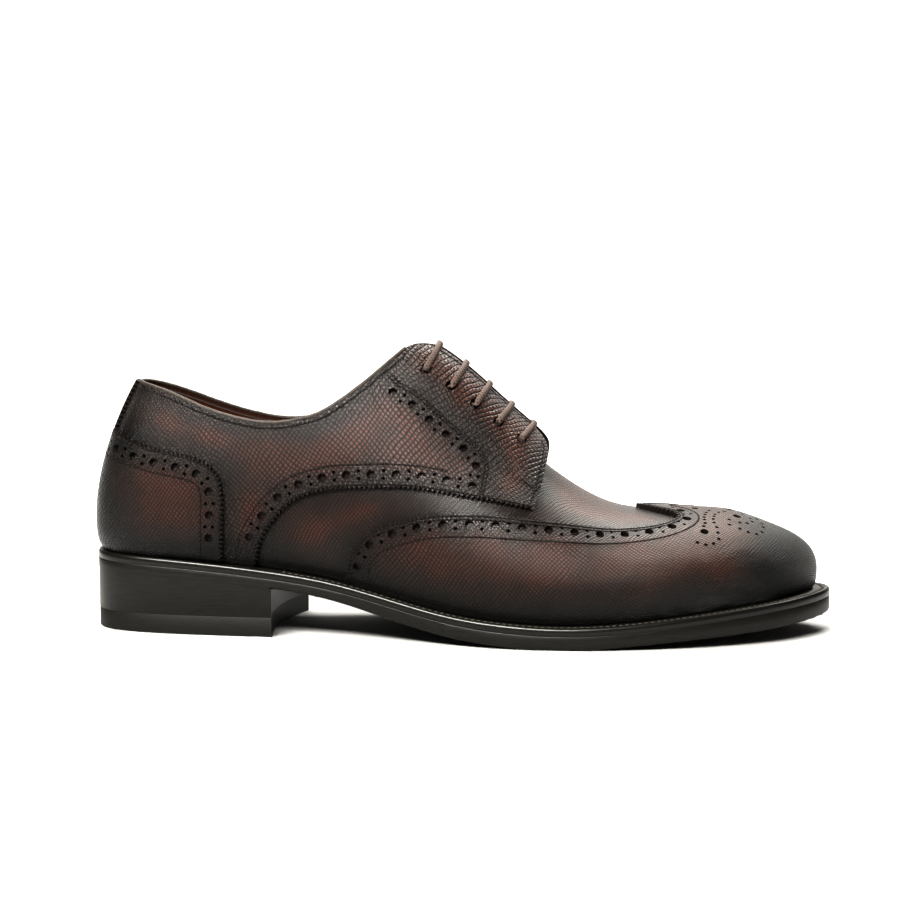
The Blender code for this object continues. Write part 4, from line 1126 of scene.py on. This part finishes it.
tongue_turns = np.linspace(turn_for_ridge(TONGUE_TOP), turn_for_ridge(TONGUE_FOOT), TONGUE_POINTS)
tongue_half = TONGUE_WIDTH / 2 * np.minimum(1.0, 0.72 + 0.6 * np.linspace(0, 1, TONGUE_POINTS))
tongue_half *= np.sqrt(np.clip(np.linspace(0.35, 8, TONGUE_POINTS), 0, 1))
tongue_side = np.array([(t, at_distance(t, -1, half)) for t, half in zip(tongue_turns, tongue_half)])
tongue_outline = np.vstack([tongue_side, same_on_inner(tongue_side)[::-1]])
tongue = lasted("tongue_leather", tongue_outline, [], BASE, BASE + TONGUE_WALL, vamp_calf, lining,
                tongue_lift)

# %% [markdown]
# ## Stitches
#
# The rows beside every edge are small, even lockstitches. Each stitch is a tiny flattened bead set into the
# leather, and all of a row become one mesh. A dashed bump would be lighter, but the beads catch the light and
# hold up close to the camera.

# %% Stitch rows
STITCH_PITCH = 1.75
BEAD = (1.25, 0.5, 0.35)
# The second bead, under each stitch, is painted shade of its channel.
CHANNEL_SHADE = (2.625, 0.85, 0.2)
LOWEST_STITCH = 0.985


def bead(mesh, place, axes, size, subdivisions, slot=0):
    """A flattened ball at a place in millimetres, with these axes and a size along each."""
    turn = (Matrix(axes).transposed() @ Matrix.Diagonal(size)).to_4x4()
    made = bmesh.ops.create_icosphere(mesh, subdivisions=subdivisions, radius=0.5 * MM,
                                      matrix=Matrix.Translation(Vector(place) * MM) @ turn)
    for face in {face for vert in made["verts"] for face in vert.link_faces}:
        face.material_index = slot


def stitched(name, rows):
    """One mesh of the beads of all the rows, and under each bead a near-black flat bead of painted shade for
    its channel.
    """
    mesh = bmesh.new()
    for line, height, lift in rows:
        spots = walked(line, STITCH_PITCH, STITCH_PITCH / 2)
        places = over_last(spots, height, lift)
        ahead = over_last(spots + np.gradient(spots, axis=0) * 0.2, height, lift) - places
        for place, along, up in zip(places, ahead, directions(spots)):
            along, up = Vector(along).normalized(), Vector(up)
            axes = (along, up.cross(along).normalized(), up)
            for slot, size in enumerate((BEAD, CHANNEL_SHADE)):
                bead(mesh, place, axes, size, 1, slot)
    return finished(name, mesh, thread, stitch_channel_shade)


def both(line):
    return [line, same_on_inner(line)]


BAR_TACK = ((0.578, 0.655), (0.603, 0.632))
bar_tack = drawn(BAR_TACK)
TOP = BASE + LAYER + 0.05
INNER_ROW_LENGTH = 115.0
rows = []
for distance in (1.3, 2.7, 9.6):
    inset_row = beside(wing_edge, -distance)
    for line in both(inset_row[(inset_row[:, 1] < -0.01) & (inset_row[:, 1] > -LOWEST_STITCH)]):
        rows.append((line, TOP, None))
wing_stitches = stitched("wing_stitches", rows)

rows = []
for distance, reach in ((1.5, 1000.0), (9.7, INNER_ROW_LENGTH)):
    inset_row = beside(quarter_edge, distance)
    inset_row = inset_row[inset_row[:, 1] > -LOWEST_STITCH]
    run = run_along(over_last(inset_row, TOP))
    for line in both(inset_row[1:][run[1:] < reach]):
        rows.append((line, TOP, facing_lift))
for distance in (0.0, -1.3):
    for line in both(beside(eyestay_edge, distance)):
        rows.append((line, TOP, facing_lift))
for line in both(beside(front_edge, 2.0)[4:-4]) + both(beside(facing_edge, -1.8)) + both(bar_tack):
    rows.append((line, TOP, facing_lift))
for side in (-1, 1):
    rows.append((beside(collar_line(side, 0.02, corner[side] - 0.005), 2.2 * side), TOP, facing_lift))
quarter_stitches = stitched("quarter_stitches", rows)

rows = []
COUNTER_TOP = COUNTER_BASE + COUNTER_WALL + 0.05
for distance in (1.5, 9.9):
    inset_row = beside(counter_edge, distance)
    inset_row = inset_row[(inset_row[:, 1] > -LOWEST_STITCH) & (inset_row[:, 0] > 0.002)]
    rows += [(line, COUNTER_TOP, None) for line in (inset_row, round_heel(inset_row))]
counter_stitches = stitched("counter_stitches", rows)

# %% [markdown]
# ## Bound edges, lace and the sole's side
#
# These are all one closed loop or one round section carried along a path, so one helper serves them: it draws
# the first ring and extrudes it from place to place. A curve with a bevel would give a round cord too, but not
# the changing section of a sole, and its ends and its coordinates are harder to steer.

# %% Rings carried along a path
def swept(name, rings, finish, closed_path=False, smooth_angle=50):
    """A mesh through rings of points (rings, points, xyz) in millimetres, capped at both ends."""
    rings = np.asarray(rings, float)
    count = rings.shape[1]
    mesh = bmesh.new()
    number = mesh.verts.layers.int.new("number")
    level = mesh.verts.layers.int.new("level")
    first = []
    for i, point in enumerate(rings[0]):
        vert = mesh.verts.new(Vector(point) * MM)
        vert[number] = i
        first.append(vert)
    edges = [mesh.edges.new((a, b)) for a, b in zip(first, first[1:] + first[:1])]
    first_edges = edges
    for k, ring in enumerate(rings[1:], 1):
        made = bmesh.ops.extrude_edge_only(mesh, edges=edges)["geom"]
        edges = [item for item in made if isinstance(item, bmesh.types.BMEdge)]
        fresh = [item for item in made if isinstance(item, bmesh.types.BMVert)]
        edges = [edge for edge in edges if edge.verts[0] in set(fresh) and edge.verts[1] in set(fresh)]
        for vert in fresh:
            vert.co = Vector(ring[vert[number]]) * MM
            vert[level] = k
    if closed_path:
        bmesh.ops.bridge_loops(mesh, edges=edges + first_edges)
    else:
        bmesh.ops.triangle_fill(mesh, use_beauty=True, edges=first_edges)
        bmesh.ops.triangle_fill(mesh, use_beauty=True, edges=edges)
    run = run_along(rings[:, 0])
    around = np.linalg.norm(rings[0][1] - rings[0][0])
    uv = mesh.loops.layers.uv.new("UVMap")
    for face in mesh.faces:
        numbers = [loop.vert[number] for loop in face.loops]
        wrap = max(numbers) - min(numbers) > count / 2
        for loop, n in zip(face.loops, numbers):
            loop[uv].uv = ((n + count if wrap and n < count / 2 else n) * around, run[loop.vert[level]])
    bmesh.ops.recalc_face_normals(mesh, faces=mesh.faces[:])
    return finished(name, mesh, finish, sharp=smooth_angle)


def cord_rings(path, outward, across_radius, out_radius, sides=12):
    """Rings round a path: outward is the direction that out_radius is measured in."""
    ahead = unit(np.gradient(path, axis=0))
    out = unit(outward - ahead * (outward * ahead).sum(axis=1, keepdims=True))
    aside = np.cross(ahead, out)
    angle = np.linspace(0, 2 * math.pi, sides, endpoint=False)
    across_radius = np.broadcast_to(across_radius, len(path))[:, None, None]
    out_radius = np.broadcast_to(out_radius, len(path))[:, None, None]
    return (path[:, None] + np.cos(angle)[:, None] * aside[:, None] * across_radius
            + np.sin(angle)[:, None] * out[:, None] * out_radius)


# %% Folded collar edges
# The folds carry the lighter, greyer finish, a painted highlight of the rolled edge.
FOLD_RADIUS = 0.85
folds = []
for side in (-1, 1):
    line = collar_line(side, 0.004, corner[side] - 0.002)
    path = over_last(line, BASE + LAYER / 2, facing_lift)
    path[:, 2] += 0.25
    folds.append(swept(f"collar_fold_{'outer' if side < 0 else 'inner'}",
                       cord_rings(path, directions(line), FOLD_RADIUS, FOLD_RADIUS), folded_edge_with_highlight))

# %% [markdown]
# ## The lace
#
# One waxed cotton lace runs in straight bars: over the facings between each pair of eyelets, and under them
# from bar to bar, where it is pressed flat. Both ends stop inside, at the top eyelets, and no bow shows.

# %% Lace
LACE_DIAMETER = 2.8
LACE_ADVANCE = 2.5
OVER_HALF_THICKNESS = 0.75
PRESSED_IN = 0.25
LACE_OVER = BASE + LAYER + OVER_HALF_THICKNESS - PRESSED_IN
UNDER_HEIGHT = 0.15
UNDER_HALF_THICKNESS = 0.42
UNDER_HALF_WIDTH = 1.9
places = {side: eyelet_places(side) for side in (-1, 1)}


def bar_points(index, start_side):
    """Chart points and heights of one bar, from the hole on one side to the hole on the other."""
    points = []
    start, end = places[start_side][index], places[-start_side][index]
    for share in np.linspace(0, 1, 17):
        across = start[1] + (end[1] - start[1]) * share
        middle = 1 - (across / start[1]) ** 2
        points.append((start[0] + LACE_ADVANCE * middle / LENGTH * 2 / math.pi, across, LACE_OVER, 0.0))
    return [(*start, UNDER_HEIGHT, 1.0), (*start, BASE + LAYER / 2, 0.3), *points,
            (*end, BASE + LAYER / 2, 0.3), (*end, UNDER_HEIGHT, 1.0)]


def under_points(side, start, end):
    """The run below the facing between two eyelets, beside those that it passes."""
    (t0, a0), (t1, a1) = places[side][start], places[side][end]
    aside = (0.0, 0.02, 0.035, 0.02, 0.0)
    return [(t0 + (t1 - t0) * share, a0 + (a1 - a0) * share - side * step, UNDER_HEIGHT, 1.0)
            for share, step in zip((0.15, 0.3, 0.5, 0.7, 0.85), aside)]


route = bar_points(4, -1)
for side, start, end in ((1, 4, 2), (-1, 2, 0), (1, 0, 1), (-1, 1, 3)):
    route += under_points(side, start, end) + bar_points(end, side)
route = np.array(route)
route_flat, route_height, squeezed = route[:, :2], route[:, 2], route[:, 3]
lace_path = over_last(route_flat, route_height, facing_lift)
lace_run = run_along(lace_path)
fine = np.linspace(0, lace_run[-1], 520)
lace_fine = np.stack([cubic(lace_run, lace_path[:, k])(fine) for k in range(3)], axis=1)
lace_out = np.stack([np.interp(fine, lace_run, directions(route_flat)[:, k]) for k in range(3)], axis=1)
press = np.interp(fine, lace_run, squeezed)
half_width = LACE_DIAMETER / 2 * (1 - press) + UNDER_HALF_WIDTH * press
half_thickness = OVER_HALF_THICKNESS * (1 - press) + UNDER_HALF_THICKNESS * press
lace = swept("lace", cord_rings(lace_fine, lace_out, half_width, half_thickness, 14), lace_cotton)
print("lace is", round(lace_run[-1]), "mm long")

# %% [markdown]
# ## The bottom
#
# The bottom is built up from the insole: a welt is sewn round it, an outsole is stitched to the welt, and
# leather lifts and a rubber top lift make the heel. Each layer's side was trimmed, ironed and waxed, so its
# corners are softly rounded. Each is a run of rings round the sole's outline, one for every step of the side.

# %% Outlines of the sole
SOLE_POINTS = 260


def outline_points(inset, count=SOLE_POINTS):
    """The sole's outline moved inwards, from the heel along the outer side, round the toe and back."""
    made = []
    for i in range(count):
        angle = -2 * i / count
        turn, side = (-angle, -1) if angle > -1 else (2 + angle, 1)
        x, y = last.edge(turn, side, inset(turn, side) if callable(inset) else inset)
        made.append((float(x), float(y)))
    return np.array(made)


PLATE_SLICE = 4.0
FLAT_SIDE = 0.7


def ground(x):
    return 0.0


def ring_levels(levels, outline):
    """A ring for each level: its inset, its height as a function of x, and what is added to that."""
    rings = []
    for inset, height, rise in levels:
        line = outline(inset)
        rings.append(np.column_stack([line, [float(height(x)) + rise for x in line[:, 0]]]))
    return rings


def plate(name, levels, finish, outline=outline_points):
    """A plate through its levels. Its flat sides are sliced across the shoe, so that they follow the curve
    of the sole."""
    piece = swept(name, ring_levels(levels, outline), finish, smooth_angle=35)
    mesh = bmesh.new()
    mesh.from_mesh(piece.data)
    sliced(mesh, Vector((1, 0, 0)), np.arange(PLATE_SLICE, LENGTH, PLATE_SLICE) * MM, 1e-7)
    mesh.normal_update()
    for vert in mesh.verts:
        facing = [face.normal.z for face in vert.link_faces]
        if max(facing) < -FLAT_SIDE or min(facing) > FLAT_SIDE:
            inset, height, rise = levels[0] if facing[0] < 0 else levels[-1]
            vert.co.z = (float(height(vert.co.x / MM)) + rise) * MM
    mesh.to_mesh(piece.data)
    mesh.free()
    return piece


# %% Outsole
SOLE_EDGE_ROUND = 1.2
BREAST_OUTER = 0.2516 * LENGTH
BREAST_INNER = 0.2760 * LENGTH


def sole_round(share):
    """The rounding of the tread's edge, which stops where the heel covers it."""
    def inset(turn, side):
        breast = turn_of((BREAST_OUTER if side < 0 else BREAST_INNER) / LENGTH)
        return SOLE_EDGE_ROUND * share if turn > breast else 0.0
    return inset


outsole = plate("outsole_leather", (
    (sole_round(1.0), last.underside, 0.0),
    (sole_round(0.3), last.underside, 0.35),
    (0.0, last.underside, 1.3),
    (0.0, last.outsole_top, -0.15),
    (0.1, last.outsole_top, 0.0),
), sole_wax)

# %% Welt
WELT_FLANGE = 13.0
TOUCHING = 0.02
welt_levels = (
    (WELT_FLANGE, last.outsole_top, TOUCHING),
    (0.1, last.outsole_top, TOUCHING),
    (0.0, last.outsole_top, TOUCHING + 0.15),
    (0.0, last.welt_top, -1.2),
    (0.35, last.welt_top, -0.35),
    (0.9, last.welt_top, 0.0),
    (1.6, last.welt_top, 0.0),
    (1.9, last.welt_top, -0.5),
    (3.5, last.welt_top, -0.5),
    (3.8, last.welt_top, -0.1),
    (WELT_FLANGE, last.welt_top, 0.0),
)
welt = swept("welt_leather", ring_levels(welt_levels, outline_points), welt_wax, True, 60)

# %% Welt stitches
WELT_STITCH_INSET = 2.9
WELT_STITCH_PITCH = 2.6
WELT_STITCH_START = 82.0
WELT_STITCH_SUNK = 0.22
WELT_BEAD = (1.9, 0.9, 0.7)


def welt_stitches():
    """Thick pale stitches in the groove of the welt, from the heel's front round the toe and back."""
    line = outline_points(WELT_STITCH_INSET, 1200)
    line = line[line[:, 0] > WELT_STITCH_START]
    start = int(np.argmax(np.linalg.norm(np.diff(line, axis=0), axis=1))) + 1
    line = np.roll(line, -start, axis=0) if start < len(line) - 1 else line
    run = run_along(line)
    mesh = bmesh.new()
    for at in np.arange(0, run[-1], WELT_STITCH_PITCH):
        here, ahead = (Vector([float(np.interp(where, run, line[:, k])) for k in (0, 1)] + [0.0])
                       for where in (at, at + 0.5))
        for place in (here, ahead):
            place.z = float(last.welt_top(place.x)) - WELT_STITCH_SUNK
        along = (ahead - here).normalized()
        side = Vector((0, 0, 1)).cross(along).normalized()
        bead(mesh, here, (along, side, along.cross(side)), WELT_BEAD, 2)
    return finished("welt_stitches", mesh, welt_thread)


welt_stitching = welt_stitches()

# %% Heel
BREAST_HOLLOW = 4.0
TOP_LIFT_THICKNESS = 8.0
HEEL_TOP_INSET = 0.15
LIFT_INSET = HEEL_TOP_INSET + 0.1


def heel_outline(inset):
    """The heel's plan: the sole's outline behind the breast, and the hollow curve of the breast."""
    outer = [last.edge(t, -1, inset) for t in np.linspace(float(turn_of(BREAST_OUTER / LENGTH)), 0, 60)]
    inner = [last.edge(t, 1, inset) for t in np.linspace(0, float(turn_of(BREAST_INNER / LENGTH)), 60)[1:]]
    made = [(float(x), float(y)) for x, y in outer + inner]
    a, b = np.array(made[-1]), np.array(made[0])
    across = (b - a) / np.linalg.norm(b - a)
    back = np.array([-abs(across[1]), across[0] * np.sign(across[1])])
    for share in np.linspace(0, 1, 25)[1:-1]:
        made.append(tuple(a + (b - a) * share + back * BREAST_HOLLOW * 4 * share * (1 - share)))
    return np.array(made)


stack = plate("heel_stack_leather", (
    (LIFT_INSET, ground, TOP_LIFT_THICKNESS + TOUCHING),
    (HEEL_TOP_INSET, ground, TOP_LIFT_THICKNESS + TOUCHING + 0.2),
    (HEEL_TOP_INSET, last.underside, -TOUCHING),
), sole_wax, heel_outline)
top_lift = plate("heel_top_lift_rubber", (
    (LIFT_INSET + 0.5, ground, 0.0),
    (LIFT_INSET, ground, 0.5),
    (LIFT_INSET, ground, TOP_LIFT_THICKNESS - 0.15),
    (LIFT_INSET + 0.1, ground, TOP_LIFT_THICKNESS),
), lift_rubber, heel_outline)

# %% Insole
INSOLE_THICKNESS = 3.0


def insole_inset(turn, side):
    return last.inset(turn, side) + UPPER_WALL + CLEARANCE


insole = plate("insole_sock", tuple((insole_inset, last.welt_top, CLEARANCE + rise)
                                    for rise in (0.0, INSOLE_THICKNESS)),
               lining, lambda inset: outline_points(inset, 160))

# %% [markdown]
# ## Into the frame
#
# The sole and the last were measured from the back of the heel. The imported model has its origin under the
# middle of the shoe, so every point moves back by half the length, in the mesh itself. Then each piece takes
# the place of the solid that it dresses, and rides on the one body.

# %% Placing the pieces
MIDDLE = Vector((-LENGTH / 2, 0, 0)) * MM
dressed = (
    (vamp, ("upper",), "upper_leather"),
    (wing, ("wing_cap",), "wing_leather"),
    (quarters[-1], ("quarter_lateral",), "quarter_leather"),
    (quarters[1], ("quarter_medial",), "quarter_leather"),
    (counter, ("heel_counter",), "counter_leather"),
    (strip, ("back_strip",), "counter_leather"),
    (tongue, ("tongue",), "tongue_leather"),
    (lace, tuple(f"lace_bar_{i + 1}" for i in range(EYELET_COUNT)), "lace"),
    (outsole, ("outsole",), "sole_leather"),
    (welt, ("welt",), "welt_leather"),
    (stack, ("heel_stack",), "heel_leather"),
    (top_lift, ("heel_top_lift",), "heel_rubber"),
    (insole, ("insole",), "lining_leather"),
    (wing_stitches, (), "wing_leather"),
    (quarter_stitches, (), "quarter_leather"),
    (counter_stitches, (), "counter_leather"),
    (welt_stitching, (), "welt_leather"),
    (folds[0], (), "quarter_leather"),
    (folds[1], (), "quarter_leather"),
)
for piece, nodes, slot in dressed:
    piece.data.transform(Matrix.Translation(MIDDLE))
    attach(piece, "root")
    if nodes:
        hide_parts(*nodes)
print(len(dressed), "pieces")

# %% [markdown]
# ## Floor and light
#
# A product photographer stands the shoe on a white sweep under large soft boxes, so the leather shows long,
# soft highlights and only a faint shadow. The floor is one sheet that curves up behind the shoe.

# %% Sweep
SWEEP_FRONT, SWEEP_BACK, SWEEP_RADIUS, SWEEP_TOP, SWEEP_HALF = -0.55, 2.4, 0.8, 3.0, 4.0
PAPER_GREY = "#bcbcbc"
sweep_mesh = bmesh.new()
profile = [(SWEEP_FRONT, 0.0), (SWEEP_BACK, 0.0)]
profile += [(SWEEP_BACK + SWEEP_RADIUS * math.sin(a), SWEEP_RADIUS * (1 - math.cos(a)))
            for a in np.linspace(0, math.pi / 2, 17)[1:]]
profile.append((SWEEP_BACK + SWEEP_RADIUS, SWEEP_TOP))
points = [sweep_mesh.verts.new((-SWEEP_HALF, y, z)) for y, z in profile]
sweep_edges = [sweep_mesh.edges.new(pair) for pair in zip(points[:-1], points[1:])]
made = bmesh.ops.extrude_edge_only(sweep_mesh, edges=sweep_edges)["geom"]
bmesh.ops.translate(sweep_mesh, verts=[v for v in made if isinstance(v, bmesh.types.BMVert)],
                    vec=(2 * SWEEP_HALF, 0, 0))
bmesh.ops.recalc_face_normals(sweep_mesh, faces=sweep_mesh.faces[:])
paper, _, paper_shader = new_material("matt_paper_sweep", 0.9)
paper_shader.inputs["Base Color"].default_value = linear(PAPER_GREY)
sweep = finished("sweep", sweep_mesh, paper)

# %% Soft boxes and sky
LAMP_WHITE = "#fffdf8"
CONTRAST = 0.66


def soft_box(name, place, aim, width, height, power):
    light = bpy.data.lights.new(name, "AREA")
    light.shape = "RECTANGLE"
    light.size, light.size_y, light.energy = width, height, power
    light.color = linear(LAMP_WHITE)[:3]
    box = bpy.data.objects.new(name, light)
    box.location = place
    box.rotation_euler = (Vector(aim) - Vector(place)).to_track_quat("-Z", "Y").to_euler()
    bpy.context.scene.collection.objects.link(box)
    return box


soft_box("overhead", (0.1, 0.62, 1.15), (0, 0, 0), 1.5, 0.8, 36)
soft_box("front_top", (-0.35, -0.8, 0.85), (-0.02, 0, 0.06), 0.9, 0.35, 46)
soft_box("toe_side", (1.3, -0.6, 0.8), (0.1, 0, 0.04), 0.5, 0.7, 0.5)
soft_box("backdrop", (0, 2.0, 2.6), (0, 3.2, 1.1), 3.0, 1.2, 200)
world = bpy.data.worlds.new("studio")
bpy.context.scene.world = world
world.use_nodes = True
world.node_tree.nodes["Background"].inputs["Color"].default_value = linear("#ffffff")
world.node_tree.nodes["Background"].inputs["Strength"].default_value = 0.04
bpy.context.scene.view_settings.view_transform = "Standard"
bpy.context.scene.view_settings.gamma = CONTRAST
